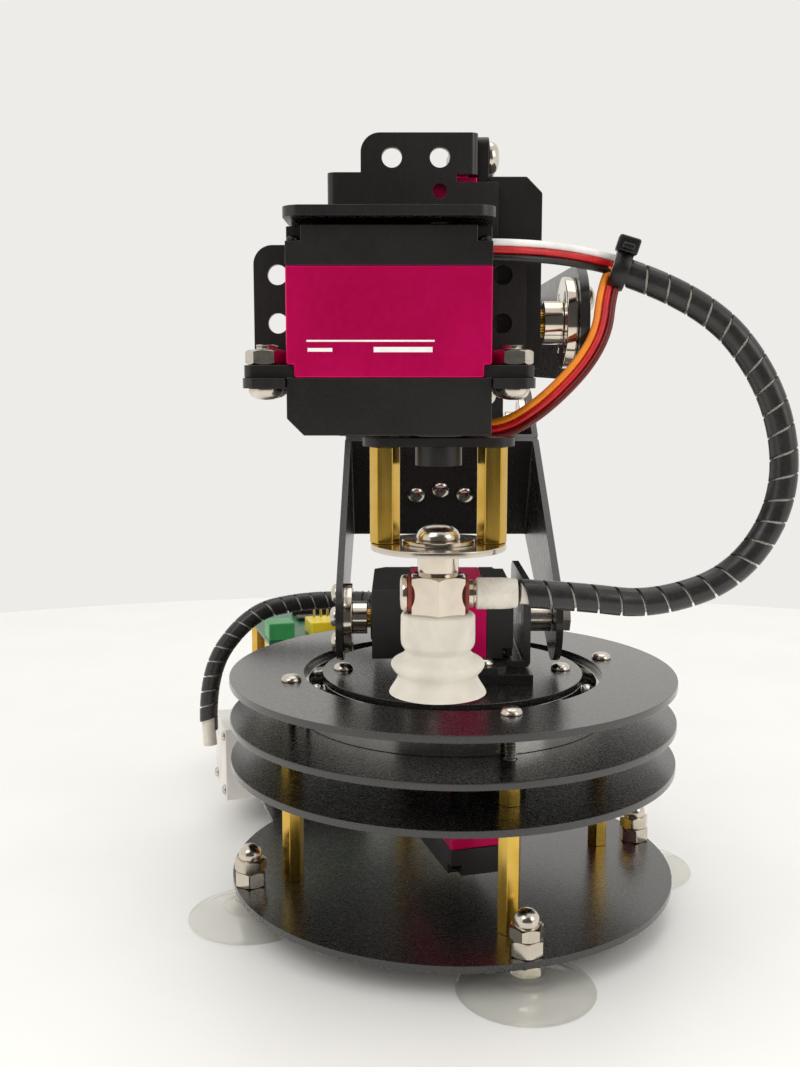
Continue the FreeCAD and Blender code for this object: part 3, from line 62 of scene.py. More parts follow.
camera.location = Vector(camera_spot_mm) * mm
camera.rotation_euler = (math.radians(90 - camera_pitch_deg), 0, 0)
scene = bpy.context.scene
scene.collection.objects.link(camera)
scene.camera = camera
scene.view_settings.view_transform = "Standard"


# Round white laminate table in front of a pale wall, under a soft key from the left, a weaker fill
# from the right and a top light, with a grey card behind the camera for the metal to mirror.
def linear(code):
    """an sRGB hex colour as linear RGBA"""
    channels = [int(code[at:at + 2], 16) / 255 for at in (1, 3, 5)]
    return [c / 12.92 if c <= 0.04045 else ((c + 0.055) / 1.055) ** 2.4 for c in channels] + [1]


def add(owner, kind, inputs=None, **settings):
    """adds one node to a material or world; an input is a plain value or another node's socket"""
    made = owner.node_tree.nodes.new("ShaderNode" + kind)
    for name, setting in settings.items():
        setattr(made, name, setting)
    for socket, given in (inputs or {}).items():
        if isinstance(given, bpy.types.NodeSocket):
            owner.node_tree.links.new(given, made.inputs[socket])
        else:
            made.inputs[socket].default_value = given
    return made


def blank(name):
    """a new material with an empty node tree"""
    material = bpy.data.materials.new(name)
    material.use_nodes = True
    material.node_tree.nodes.clear()
    return material


def surface(name, tone, shade, patch_mm, rough, grain_mm, depth_mm, stretch=(1, 1, 1), specks=None,
            **sockets):
    """a finish whose colour wanders from tone to shade in soft patches over a fine raised grain, with
    specks given as (colour, spacing in mm, radius in mm)"""
    # places of the colour sockets of a Mix node
    amount_at, one_at, two_at, result_at = 0, 6, 7, 2
    patch_low, patch_high, grain_low, grain_high = 0.35, 0.65, 0.3, 0.7
    material = blank(name)
    place = add(material, "TexCoord").outputs["Object"]
    patch = add(material, "TexNoise", {"Vector": place, "Scale": 1000 / patch_mm, "Detail": 4.0})
    amount = add(material, "MapRange", {"Value": patch.outputs["Fac"], "From Min": patch_low,
                                        "From Max": patch_high})
    colour = add(material, "Mix", {amount_at: amount.outputs["Result"], one_at: linear(tone),
                                   two_at: linear(shade)}, data_type="RGBA").outputs[result_at]
    if specks:
        dust, spacing, radius = specks
        cell = add(material, "TexVoronoi", {"Vector": place, "Scale": 1000 / spacing})
        dot = add(material, "Math", {0: cell.outputs["Distance"], 1: radius / spacing},
                  operation="LESS_THAN")
        colour = add(material, "Mix", {amount_at: dot.outputs["Value"], one_at: colour,
                                       two_at: linear(dust)}, data_type="RGBA").outputs[result_at]
    drawn = add(material, "Mapping", {"Vector": place, "Scale": stretch})
    grain = add(material, "TexNoise", {"Vector": drawn.outputs["Vector"], "Scale": 1000 / grain_mm,
                                       "Detail": 2.0})
    gloss = add(material, "MapRange", {"Value": grain.outputs["Fac"], "From Min": grain_low,
                                       "From Max": grain_high, "To Min": rough[0], "To Max": rough[1]})
    relief = add(material, "Bump", {"Height": grain.outputs["Fac"], "Distance": depth_mm * mm,
                                    "Strength": 1.0})
    shader = add(material, "BsdfPrincipled", {"Base Color": colour, "Roughness": gloss.outputs["Result"],
                                              "Normal": relief.outputs["Normal"], **sockets})
    add(material, "OutputMaterial", {"Surface": shader.outputs["BSDF"]})
    return material


def put(name, bm, *materials):
    """links a bmesh as a smooth-shaded object whose edges above 35 degrees stay sharp"""
    bmesh.ops.recalc_face_normals(bm, faces=bm.faces)
    mesh = bpy.data.meshes.new(name)
    bm.to_mesh(mesh)
    bm.free()
    mesh.shade_smooth()
    mesh.set_sharp_from_angle(angle=math.radians(35))
    for material in materials:
        mesh.materials.append(material)
    piece = bpy.data.objects.new(name, mesh)
    scene.collection.objects.link(piece)
    return piece


def circle(radius, height, steps):
    """points round the z axis at one height"""
    turns = [2 * math.pi * step / steps for step in range(steps)]
    return [Vector((radius * math.cos(turn), radius * math.sin(turn), height)) for turn in turns]


def lathe(bm, profile, place=Matrix(), steps=48):
    """turns a (radius, height) outline in metres about the local z axis of place"""
    rings = []
    for radius, height in profile:
        spots = circle(radius, height, steps if radius > 0 else 1)
        rings.append([bm.verts.new(place @ spot) for spot in spots])
    for low, high in zip(rings, rings[1:]):
        for step in range(steps):
            ahead = step + 1
            corners = [low[step % len(low)], low[ahead % len(low)],
                       high[ahead % len(high)], high[step % len(high)]]
            bm.faces.new(list(dict.fromkeys(corners)))


def in_mm(outline):
    """an outline of (radius, height) pairs in millimetres, as metres"""
    return [(radius * mm, height * mm) for radius, height in outline]


# white melamine: a hard sheet with a very faint mottle and a soft, even gloss
laminate = surface("white_melamine_table", "#f5f4f1", "#f2f1ee", 60, (0.42, 0.5), 2, 0.004)
table_radius, table_centre_y, table_thick = 650 * mm, -170 * mm, 20 * mm
lip, lip_middle, table_steps = 3 * mm, 1 * mm, 256
bm = bmesh.new()
lathe(bm, [(0, 0), (table_radius - lip, 0), (table_radius - lip_middle, -lip_middle), (table_radius, -lip),
           (table_radius, -table_thick), (0, -table_thick)],
      Matrix.Translation((0, table_centre_y, 0)), table_steps)
table = put("table", bm, laminate)

# grey card: a sheet that glows an even dark grey, a little clouded, seen only in gloss, where it is a painted
# reflection of a dark room in front
card_dark, card_light, cloud_scale = 0.05, 0.12, 2.0
flag = blank("dark_glowing_reflection_card")
cloud = add(flag, "TexNoise", {"Scale": cloud_scale})
level = add(flag, "MapRange", {"Value": cloud.outputs["Fac"], "To Min": card_dark, "To Max": card_light})
glow = add(flag, "Emission", {"Color": level.outputs["Result"], "Strength": 1.0})
add(flag, "OutputMaterial", {"Surface": glow.outputs["Emission"]})
bm = bmesh.new()
card_half, card_distance, card_height = 760 * mm, -850 * mm, 480 * mm
corners = [(-card_half, -card_half), (card_half, -card_half), (card_half, card_half), (-card_half, card_half)]
bm.faces.new([bm.verts.new((x, card_distance, z + card_height)) for x, z in corners])
card = put("grey_card", bm, flag)
card.visible_camera = False
card.visible_shadow = False
card.visible_diffuse = False

# the world shows a pale wall to the camera, to gloss and through clear pieces, and lights the rest
# as a slightly brighter room
world = bpy.data.worlds.new("studio")
world.use_nodes = True
world.node_tree.nodes.clear()
scene.world = world
ray = add(world, "LightPath")
faced = add(world, "Math", {0: ray.outputs["Is Camera Ray"], 1: ray.outputs["Is Glossy Ray"]},
            operation="MAXIMUM")
faced = add(world, "Math", {0: faced.outputs["Value"], 1: ray.outputs["Is Transmission Ray"]},
            operation="MAXIMUM")
wall = add(world, "Background", {"Color": linear("#eeece8"), "Strength": 1.0})
room = add(world, "Background", {"Color": linear("#fdfbf8"), "Strength": 1.0})
both = add(world, "MixShader", {0: faced.outputs["Value"], 1: room.outputs["Background"],
                                2: wall.outputs["Background"]})
add(world, "OutputWorld", {"Surface": both.outputs["Shader"]})
aim = Vector((0, -20, 110)) * mm
# name, place in mm, width in mm, power in watts
lamps = (("key", (-460, -700, 860), 600, 2.2), ("fill", (640, -520, 520), 450, 1.1),
         ("top", (80, 160, 900), 600, 1.2))
for name, spot, width, watts in lamps:
    lamp = bpy.data.lights.new(name, "AREA")
    lamp.size = width * mm
    lamp.energy = watts
    holder = bpy.data.objects.new(name, lamp)
    holder.location = Vector(spot) * mm
    holder.rotation_euler = (aim - holder.location).to_track_quat("-Z", "Y").to_euler()
    scene.collection.objects.link(holder)


# Four suction feet: clear soft PVC discs moulded round a steel stud, which passes the base plate
# between a nut below, a nut above and a domed cap nut, all nickel plated.
weld_distance = 0.002 * mm


def solids(name):
    """the separate solids of a CAD node, each as (corner points, faces as corner numbers)"""
    whole = bmesh.new()
    whole.from_mesh(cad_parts[name].data)
    bmesh.ops.remove_doubles(whole, verts=whole.verts, dist=weld_distance)
    waiting = set(whole.verts)
    found = []
    while waiting:
        group = {waiting.pop()}
        edge = list(group)
        while edge:
            for link in edge.pop().link_edges:
                for vert in link.verts:
                    if vert in waiting:
                        waiting.discard(vert)
                        group.add(vert)
                        edge.append(vert)
        corners = sorted(group, key=lambda vert: vert.index)
        order = {vert: at for at, vert in enumerate(corners)}
        faces = sorted({face for vert in group for face in vert.link_faces}, key=lambda face: face.index)
        found.append(([vert.co.copy() for vert in corners],
                      [[order[vert] for vert in face.verts] for face in faces]))
    whole.free()
    return sorted(found, key=lambda solid: tuple(round(x, 6) for x in solid[0][0]))


def middle(points):
    """the middle of the box round some points"""
    low = Vector([min(p[axis] for p in points) for axis in range(3)])
    high = Vector([max(p[axis] for p in points) for axis in range(3)])
    return (low + high) / 2


def nut(bm, place, flats, height, bore, turn=0.0, ends=(True, True), steps=72):
    """hexagon with its corners chamfered to arcs, round the local z axis of place, from 0 to height"""
    land_share, plain_share, chamfer_deg = 0.95, 0.999, 30
    half = flats / 2
    land = half * land_share
    fall = math.tan(math.radians(chamfer_deg))
    rings = []
    for z, side in ((0, 1), (height, -1)):
        chamfer = ends[0] if z == 0 else ends[1]
        flat, rim = [], []
        for step in range(steps):
            angle = 2 * math.pi * step / steps
            within = (angle - turn) % (math.pi / 3) - math.pi / 6
            reach = half / math.cos(within)
            drop = max(0.0, reach - land) * fall if chamfer else 0.0
            inner = land if chamfer else reach * plain_share
            around = Vector((math.cos(angle), math.sin(angle), 0))
            flat.append(place @ (around * inner + Vector((0, 0, z))))
            rim.append(place @ (around * reach + Vector((0, 0, z + side * drop))))
        rings += [flat, rim] if z == 0 else [rim, flat]
    if bore:
        low, high = [[place @ spot for spot in circle(bore, z, steps)] for z in (0, height)]
        rings = [low] + rings + [high]
    made = [[bm.verts.new(spot) for spot in ring] for ring in rings]
    pairs = list(zip(made, made[1:]))
    if bore:
        pairs.append((made[-1], made[0]))
    else:
        for cap in (made[0], made[-1]):
            bm.faces.new(cap)
    for low, high in pairs:
        for step in range(steps):
            ahead = (step + 1) % steps
            bm.faces.new([low[step], low[ahead], high[ahead], high[step]])


# soft PVC: clear with a faint ripple, seen mostly by its rim and gloss; three quarters of what is behind
# it shows straight through, and it casts hardly any shadow
ripple_mm, ripple_depth_mm, straight_share = 6, 0.02, 0.74
clear_pvc = blank("clear_soft_pvc")
where = add(clear_pvc, "TexCoord").outputs["Object"]
ripple = add(clear_pvc, "TexNoise", {"Vector": where, "Scale": 1000 / ripple_mm})
wave = add(clear_pvc, "Bump", {"Height": ripple.outputs["Fac"], "Distance": ripple_depth_mm * mm})
haze = add(clear_pvc, "MapRange", {"Value": ripple.outputs["Fac"], "To Min": 0.02, "To Max": 0.08})
body = add(clear_pvc, "BsdfPrincipled", {"Base Color": linear("#fdfdfb"), "Roughness": haze.outputs["Result"],
                                         "Normal": wave.outputs["Normal"], "Transmission Weight": 1.0,
                                         "IOR": 1.52})
through = add(clear_pvc, "BsdfTransparent", {"Color": linear("#fafaf8")})
shadow = add(clear_pvc, "LightPath").outputs["Is Shadow Ray"]
share = add(clear_pvc, "Math", {0: shadow, 1: straight_share}, operation="MAXIMUM")
clear = add(clear_pvc, "MixShader", {0: share.outputs["Value"], 1: body.outputs["BSDF"],
                                     2: through.outputs["BSDF"]})
add(clear_pvc, "OutputMaterial", {"Surface": clear.outputs["Shader"]})
# nickel plate: warm, bright metal with faint drawing marks
nickel = surface("nickel_plated_steel", "#d9d0c2", "#cbc2b4", 6, (0.14, 0.22), 3, 0.004, Metallic=1.0)
foot_centres = [middle(points) for points, faces in solids("suction_feet")]
foot_spots = sorted((round(centre.x, 6), round(centre.y, 6)) for centre in foot_centres)
base_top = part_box("base_plate")[1].z
foot_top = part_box("suction_feet")[1].z
plate_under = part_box("base_plate")[0].z
cap_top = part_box("foot_nuts")[1].z
foot_flats, stud_radius = 8 * mm, 2.45 * mm
nut_rise, cap_hex_rise = 4.4 * mm, 3.4 * mm
stud_sunk, stud_short = 0.2 * mm, 3 * mm
dome_radius, dome_start, dome_angles = 3.35 * mm, 4.6 * mm, (0.25, 0.5, 0.75, 1.0, 1.25)
low_turn, high_turn, cap_turn = 0.3, 0.55, 0.2
disc_profile = [(0, 5.0), (5.6, 5.0), (6.0, 4.8), (6.1, 4.3), (7.3, 4.15), (7.7, 3.9), (7.8, 3.4),
                (9.0, 3.15), (11.5, 2.6), (14.4, 2.05), (16.8, 1.35), (17.8, 0.85), (18.0, 0.45),
                (17.7, 0.06), (16.6, 0.02), (14.5, 0.75), (11.0, 1.55), (7.0, 2.35), (4.0, 2.7), (0, 2.8)]
feet = bmesh.new()
metal = bmesh.new()
for x, y in foot_spots:
    floor = Matrix.Translation((x, y, 0))
    lathe(feet, in_mm(disc_profile), floor, 72)
    lathe(metal, [(0, foot_top - stud_sunk), (stud_radius, foot_top - stud_sunk),
                  (stud_radius, cap_top - stud_short), (0, cap_top - stud_short)], floor, 24)
    cap_low = base_top + nut_rise
    for z, height, turn in ((foot_top, plate_under - foot_top, low_turn), (base_top, nut_rise, high_turn),
                            (cap_low, cap_hex_rise, cap_turn)):
        nut(metal, Matrix.Translation((x, y, z)), foot_flats, height, stud_radius, turn)
    rise = cap_top - cap_low - dome_start
    dome = in_mm([(3.25, 3.2), (3.35, 3.6), (3.35, 4.6)])
    dome += [(dome_radius * math.cos(a), dome_start + rise * math.sin(a)) for a in dome_angles]
    lathe(metal, dome + [(0, dome_start + rise)], Matrix.Translation((x, y, cap_low)), 36)
discs = put("clear_foot_discs", feet, clear_pvc)
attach(discs, "base")
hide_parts("suction_feet")
cap_nuts = put("foot_cap_nuts", metal, nickel)
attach(cap_nuts, "base")
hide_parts("foot_nuts")


# Four round steel plates, laser cut, deburred and powder coated semi-gloss black: base plate with its
# tail, servo plate, bearing plate and top plate.
def dress(material, edge_mm, *names):
    """gives CAD nodes their finish and the small rounding of their edges, with their flats shaded flat"""
    flat_deg, edge_deg, area_weight = 0.6, 32, 100
    for name in names:
        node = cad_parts[name]
        for place in node.material_slots:
            place.material = material
        weld = node.modifiers.new("weld", "WELD")
        weld.merge_threshold = weld_distance
        whole = node.modifiers.new("whole_faces", "DECIMATE")
        whole.decimate_type = "DISSOLVE"
        whole.angle_limit = math.radians(flat_deg)
        edge = node.modifiers.new("edge", "BEVEL")
        edge.width = edge_mm * mm
        edge.segments = 2
        edge.limit_method = "ANGLE"
        edge.angle_limit = math.radians(edge_deg)
        flats = node.modifiers.new("flats", "WEIGHTED_NORMAL")
        flats.mode = "FACE_AREA"
        flats.weight = area_weight


# powder coat: black with a semi-gloss that mirrors the wall at low angles, a fine orange-peel grain
# drawn at 0.8 mm so that it shows, and a little dust
powder = surface("black_powder_coat", "#1a1815", "#13110f", 25, (0.22, 0.32), 0.8, 0.006,
                 specks=("#8f897f", 7, 0.16), IOR=1.6, **{"Coat Weight": 0.6, "Coat Roughness": 0.25})
dress(powder, 0.25, "base_plate", "servo_plate", "bearing_plate", "top_plate")

# Brass hex standoffs with a threaded stud between the plates, and four taller ones under the board, cut
# from drawn hexagon bar and held by the screws through the plates.
# brass: drawn yellow bar, bright on its flats, darker where it has tarnished
brass = surface("drawn_brass", "#dcb85c", "#cfa645", 9, (0.16, 0.26), 1.2, 0.004, (1, 1, 0.04), Metallic=1.0)
dress(brass, 0.3, "plate_standoffs")


# Pan-head machine screws with a cross recess, and their nuts: nickel-plated steel, cold headed, with
# rolled threads. They join the plates, and the base servo's ears to the servo plate.
def cut_away(piece, cutter):
    """the mesh that is left of a piece after a cutter is taken out of it"""
    cut = piece.modifiers.new("cut", "BOOLEAN")
    cut.object = cutter
    cut.solver = "EXACT"
    bpy.context.view_layer.update()
    shape = bpy.data.meshes.new_from_object(piece.evaluated_get(bpy.context.evaluated_depsgraph_get()))
    for used in (piece, cutter):
        bpy.data.objects.remove(used)
    return shape


def bar(bm, low, high, place=Matrix()):
    """a plain block between two corners in the axes of place; gives its faces"""
    made = []
    for x in (low[0], high[0]):
        for y in (low[1], high[1]):
            made += [bm.verts.new(place @ Vector((x, y, z))) for z in (low[2], high[2])]
    sides = ((0, 1, 3, 2), (4, 6, 7, 5), (0, 4, 5, 1), (2, 3, 7, 6), (0, 2, 6, 4), (1, 5, 7, 3))
    return [bm.faces.new([made[corner] for corner in side]) for side in sides]


def recessed_head(steps):
    """pan head of radius 1 and height 1 on z = 0, with a cross recess in its crown"""
    wall, crown_rise, crown_radius, crown_power = 0.28, 0.72, 0.97, 0.8
    slot_half, slot_reach, slot_low, slot_high = 0.13, 0.58, 0.35, 1.4
    bm = bmesh.new()
    crown = [(crown_radius * math.cos(a) ** crown_power, wall + crown_rise * math.sin(a))
             for a in (0.15, 0.4, 0.65, 0.9, 1.15, 1.38)]
    lathe(bm, [(0, 0), (0.94, 0), (1, 0.08), (1, wall)] + crown + [(0, 1)], steps=steps)
    head = put("head_blank", bm)
    bm = bmesh.new()
    bar(bm, (-slot_reach, -slot_half, slot_low), (slot_reach, slot_half, slot_high))
    bar(bm, (-slot_half, -slot_reach, slot_low), (slot_half, slot_reach, slot_high))
    return cut_away(head, put("head_cutter", bm))


head_mesh = recessed_head(40)
# screws lie along x, y or z, or along the upper arm, which leans this far back
lean = math.radians(58.5)
screw_axes = [Vector((1, 0, 0)), Vector((0, 1, 0)), Vector((0, 0, 1)),
              Vector((0, math.sin(lean), math.cos(lean)))]
thread_pitch = 0.7 * mm


def along(origin, axis):
    """the place whose local z axis runs along axis from origin"""
    side = axis.orthogonal().normalized()
    return Matrix.Translation(origin) @ Matrix((side, axis.cross(side), axis)).transposed().to_4x4()


def spread(points, axis):
    """how far points reach along an axis and along two axes square to it"""
    side = Vector((0, 1, 0)) if abs(axis.x) > 0.5 else Vector((1, 0, 0))
    lengths = []
    for way in (axis, side, axis.cross(side)):
        reach = [point.dot(way) for point in points]
        lengths.append(max(reach) - min(reach))
    return lengths


def headed(bm, place, radius, height, twist=0.0):
    """a recessed head on the local z axis of place"""
    turn = place @ Matrix.Rotation(twist, 4, "Z") @ Matrix.Diagonal((radius, radius, height, 1))
    made = [bm.verts.new(turn @ vert.co) for vert in head_mesh.vertices]
    for face in head_mesh.polygons:
        bm.faces.new([made[corner] for corner in face.vertices])


def screw(bm, points, axis):
    """a recessed pan-head screw with a threaded shank in the place of a CAD one, its recess turned to an
    angle that its place gives"""
    near, swell, tip_share, root_share = 0.01 * mm, 1.04, 0.8, 0.84
    turn_by_x, turn_by_y, crest_at, to_root, shank_steps = 400, 900, 0.25, 0.5, 16
    centre = middle(points)
    reach = [(point - centre).dot(axis) for point in points]
    radii = [((point - centre) - axis * at).length for point, at in zip(points, reach)]
    ends = (min(reach), max(reach))
    caps = [max(r for r, at in zip(radii, reach) if abs(at - end) < near) for end in ends]
    sign = 1 if caps[1] > caps[0] else -1
    heights = [at * sign for at in reach]
    widest = max(radii)
    seat = min(height for r, height in zip(radii, heights) if r > widest - near)
    place = along(centre + axis * sign * seat, axis * sign)
    headed(bm, place, widest * swell, max(heights) - seat, centre.x * turn_by_x + centre.y * turn_by_y)
    shank = min(caps)
    length = seat - min(heights)
    turns = max(2, int(length / thread_pitch))
    profile = [(0, -length), (shank * tip_share, -length)]
    for turn in range(turns):
        low = -length + (turn + crest_at) * length / turns
        profile += [(shank, low), (shank * root_share, low + to_root * length / turns)]
    lathe(bm, profile + [(shank, 0)], place, shank_steps)


def fasteners(name, node, body, material):
    """screws and nuts in the places of a CAD node's solids; other solids are kept as they are"""
    nut_highest, round_within, nut_bore, nut_steps = 3.2 * mm, 0.05 * mm, 1.98 * mm, 48
    bm = bmesh.new()
    for points, faces in solids(node):
        spans = {at: spread(points, axis) for at, axis in enumerate(screw_axes)}
        round_axes = [at for at, (length, one, two) in spans.items()
                      if abs(one - two) < round_within and length > nut_highest]
        thin = min(spans, key=lambda at: spans[at][0])
        height = spans[thin][0]
        if round_axes:
            screw(bm, points, screw_axes[round_axes[0]])
        elif height < nut_highest:
            axis = screw_axes[thin]
            place = along(middle(points) - axis * height / 2, axis)
            corner = max((place.inverted() @ point for point in points), key=lambda spot: spot.xy.length)
            flats = corner.xy.length * math.sqrt(3)
            nut(bm, place, flats, height, nut_bore, math.atan2(corner.y, corner.x), steps=nut_steps)
        else:
            kept = [bm.verts.new(point) for point in points]
            for face in faces:
                bm.faces.new([kept[corner] for corner in face])
    made = put(name, bm, material)
    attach(made, body)
    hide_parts(node)


# cold-headed steel, nickel plated: bright, with a soft dulling in patches
screw_steel = surface("nickel_plated_screw_steel", "#dbd3c7", "#c9c1b6", 4, (0.18, 0.28), 2, 0.004,
                      Metallic=1.0)
fasteners("plate_machine_screws", "plate_screws", "base", screw_steel)

# Ring bearing of 70 x 90 x 10 mm: ground and polished steel rings with balls between them, pinched
# between the bearing plate and the top plate.
# ground steel: mirror bright with fine turned lines round the ring
bearing_steel = surface("ground_bearing_steel", "#d3d0cc", "#c3c0bc", 9, (0.1, 0.18), 2, 0.002, (1, 1, 4),
                        Metallic=1.0)
dress(bearing_steel, 0.3, "bearing_outer_ring", "bearing_inner_ring")
dress(bearing_steel, 0.02, "bearing_balls")

# Base servo, hung from the servo plate: moulded black nylon gear case and rear cover about an aluminium
# middle case, anodised magenta.
# glass-filled nylon: moulded, satin black, with a fine spark-eroded grain drawn at 0.6 mm
nylon = surface("moulded_black_nylon", "#1e1c1b", "#171514", 12, (0.32, 0.42), 0.6, 0.006)
# anodised aluminium: magenta dye in a satin skin, which keeps its colour in the bright parts
magenta = surface("magenta_anodised_aluminium", "#d60460", "#c20050", 26, (0.28, 0.36), 1.5, 0.002,
                  Metallic=0.5, **{"Specular IOR Level": 0.25})
dress(nylon, 0.45, "base_servo_covers")
dress(magenta, 0.4, "base_servo_case")


def servo_place(origin_mm, ahead, across, out):
    """a servo's place: x along its body, y across it, z out along its shaft from the gear case's face"""
    axes = Matrix((ahead, across, out)).transposed().to_4x4()
    return Matrix.Translation(Vector(origin_mm) * mm) @ axes


# black oxide: thin, dark, slightly brown, over bright screw heads
black_oxide = surface("black_oxide_steel", "#3a3633", "#2b2826", 2, (0.3, 0.4), 1, 0.004, Metallic=1.0)


def case_screws(name, body, *places):
    """four long screws that hold each servo together, their heads in the rear cover's corner notches"""
    rows, lanes, depth, head_radius, head_rise = (-8.5, 28.5), (-8.5, 8.5), -37.3, 1.3 * mm, 1.1 * mm
    bm = bmesh.new()
    for place in places:
        for x in rows:
            for y in lanes:
                notch = Matrix.Translation((x * mm, y * mm, depth * mm)) @ Matrix.Rotation(math.pi, 4, "X")
                headed(bm, place @ notch, head_radius, head_rise, x + y)
    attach(put(name, bm, black_oxide), body)


base_turn = Matrix.Rotation(math.radians(16), 4, "Z")
base_servo = base_turn @ servo_place((0, 0, 58.7), (0, -1, 0), (1, 0, 0), (0, 0, 1))
case_screws("base_case_screws", "base", base_servo)

# Diaphragm pump behind the plates: a moulded white head, held by four pan-head screws, on a plated motor
# can whose black end cap carries two brass terminal tabs.
# acetal: natural white, waxy, slightly translucent
acetal = surface("moulded_white_acetal", "#e6e4df", "#d9d6d0", 10, (0.35, 0.45), 0.6, 0.01,
                 **{"Subsurface Weight": 0.2, "Subsurface Radius": (0.003, 0.003, 0.003)})
# zinc plate: cool grey metal, half bright, clouded in patches
zinc = surface("zinc_plated_can", "#bdbcba", "#a3a2a0", 6, (0.22, 0.36), 0.5, 0.006, Metallic=1.0)
dress(acetal, 0.8, "pump_head")
dress(zinc, 0.8, "pump_motor")
pump_x, pump_y, pump_z, motor_back = -58 * mm, 81 * mm, 22.5 * mm, -8 * mm
corner_reach, head_radius, head_rise = 9.5, 1.7 * mm, 1.2 * mm
facing_left = Matrix.Rotation(-math.pi / 2, 4, "Y")
facing_right = Matrix.Rotation(math.pi / 2, 4, "Y")
bm = bmesh.new()
for y in (-corner_reach, corner_reach):
    for z in (-corner_reach, corner_reach):
        spot = base_turn @ Matrix.Translation((pump_x, pump_y + y * mm, pump_z + z * mm)) @ facing_left
        headed(bm, spot, head_radius, head_rise, y * z)
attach(put("pump_head_screws", bm, screw_steel), "base")
motor_end = base_turn @ Matrix.Translation((motor_back, pump_y, pump_z)) @ facing_right
end_cap_profile = [(0, -0.3), (10.2, -0.3), (10.2, 0.7), (9.7, 1.1), (4.2, 1.1), (3.9, 2.6), (3.4, 2.9),
                   (0, 2.9)]
bm = bmesh.new()
lathe(bm, in_mm(end_cap_profile), motor_end, 48)
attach(put("motor_end_cap", bm, nylon), "base")
tab_half, tab_half_thick, tab_low, tab_high = 1.4, 0.25, 0.9, 5.5
rivet_profile = [(0, 0.9), (1.1, 0.9), (1.1, 1.5), (0, 1.5)]
bm = bmesh.new()
for y in (-7, 7):
    bar(bm, (-tab_half * mm, (y - tab_half_thick) * mm, tab_low * mm),
        (tab_half * mm, (y + tab_half_thick) * mm, tab_high * mm), motor_end)
    lathe(bm, in_mm(rivet_profile), motor_end @ Matrix.Translation((0, y * mm, 0)), 16)
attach(put("motor_terminal_tabs", bm, brass), "base")

# Control board on four posts above the tail: green glass-epoxy board with a screw terminal, a yellow
# power socket, three black chips, pin headers and two can capacitors, all soldered on.
# solder mask: deep green, half glossy over the weave of the board
epoxy = surface("green_glass_epoxy_board", "#1f6b45", "#18573a", 7, (0.28, 0.4), 0.9, 0.01)
# terminal block: mid green moulding, satin
terminal_green = surface("moulded_green_terminal", "#3f9a57", "#348a4b", 5, (0.34, 0.46), 0.5, 0.01)
# socket: strong yellow nylon, satin
socket_yellow = surface("moulded_yellow_nylon", "#e8cf28", "#d8bd1c", 5, (0.32, 0.44), 0.5, 0.01)
dress(epoxy, 0.1, "control_board")
dress(terminal_green, 0.5, "board_terminal")
dress(socket_yellow, 0.6, "power_socket")
board_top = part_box("control_board")[1].z
board_front_mm = 95


def on_board(x_mm, y_mm):
    """a place on top of the board, from the middle of the board's front edge"""
    return base_turn @ Matrix.Translation((x_mm * mm, (board_front_mm + y_mm) * mm, board_top))


def softened(bm, faces, width_mm, segments):
    """rounds every edge of a block"""
    edges = list(dict.fromkeys(edge for face in faces for edge in face.edges))
    bmesh.ops.bevel(bm, geom=edges, offset=width_mm * mm, segments=segments, profile=0.5, affect="EDGES")


# chips as (x, y, width, depth, height) and rows of pins as (x, y, number), in mm
chips = ((6, 27, 12, 12, 1.6), (-17, 34, 8, 6, 1.5), (24, 34, 7, 9, 1.8))
pin_rows = ((9, 5, 10), (-1, 12, 14), (3, 44, 18))
chip_lift, pin_pitch, shell_half, shell_rise = 0.25, 2.54, 1.2, 2.5
pin_spots = [on_board(x + pin * pin_pitch - count * pin_pitch / 2, y) for x, y, count in pin_rows
             for pin in range(count)]
bm = bmesh.new()
for x, y, width, depth, height in chips:
    block = bar(bm, (-width / 2 * mm, -depth / 2 * mm, chip_lift * mm),
                (width / 2 * mm, depth / 2 * mm, height * mm), on_board(x, y))
    softened(bm, block, 0.2, 2)
for spot in pin_spots:
    shell = bar(bm, (-shell_half * mm, -shell_half * mm, 0),
                (shell_half * mm, shell_half * mm, shell_rise * mm), spot)
    softened(bm, shell, 0.3, 1)
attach(put("board_chips_and_headers", bm, nylon), "base")
pin_profile = [(0, 0), (0.42, 0), (0.42, 8), (0.2, 8.5), (0, 8.5)]
bm = bmesh.new()
for spot in pin_spots:
    lathe(bm, in_mm(pin_profile), spot, 8)
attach(put("header_pins", bm, brass), "base")
can_profile = [(0, 0), (3.9, 0), (4, 0.3), (4, 1.2), (3.7, 1.6), (4, 2), (4, 8.6), (3.7, 9), (3.2, 9),
               (3.1, 8.8), (0, 8.8)]
bm = bmesh.new()
for x, y in ((30, 12), (30, 22)):
    lathe(bm, in_mm(can_profile), on_board(x, y), 32)
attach(put("can_capacitors", bm, zinc), "base")

# Turntable: powder-coated disc on the bearing's inner ring with a riser block, turned by the base
# servo's splined shaft through a chromed disc horn.
# chrome: warm white mirror over turned brass, with the faintest waviness
chrome = surface("chromed_brass", "#e0d6c8", "#d3c8b9", 8, (0.08, 0.15), 4, 0.003, Metallic=1.0)
dress(powder, 0.25, "turntable_disc", "riser_plate")
dress(chrome, 0.3, "base_horn")


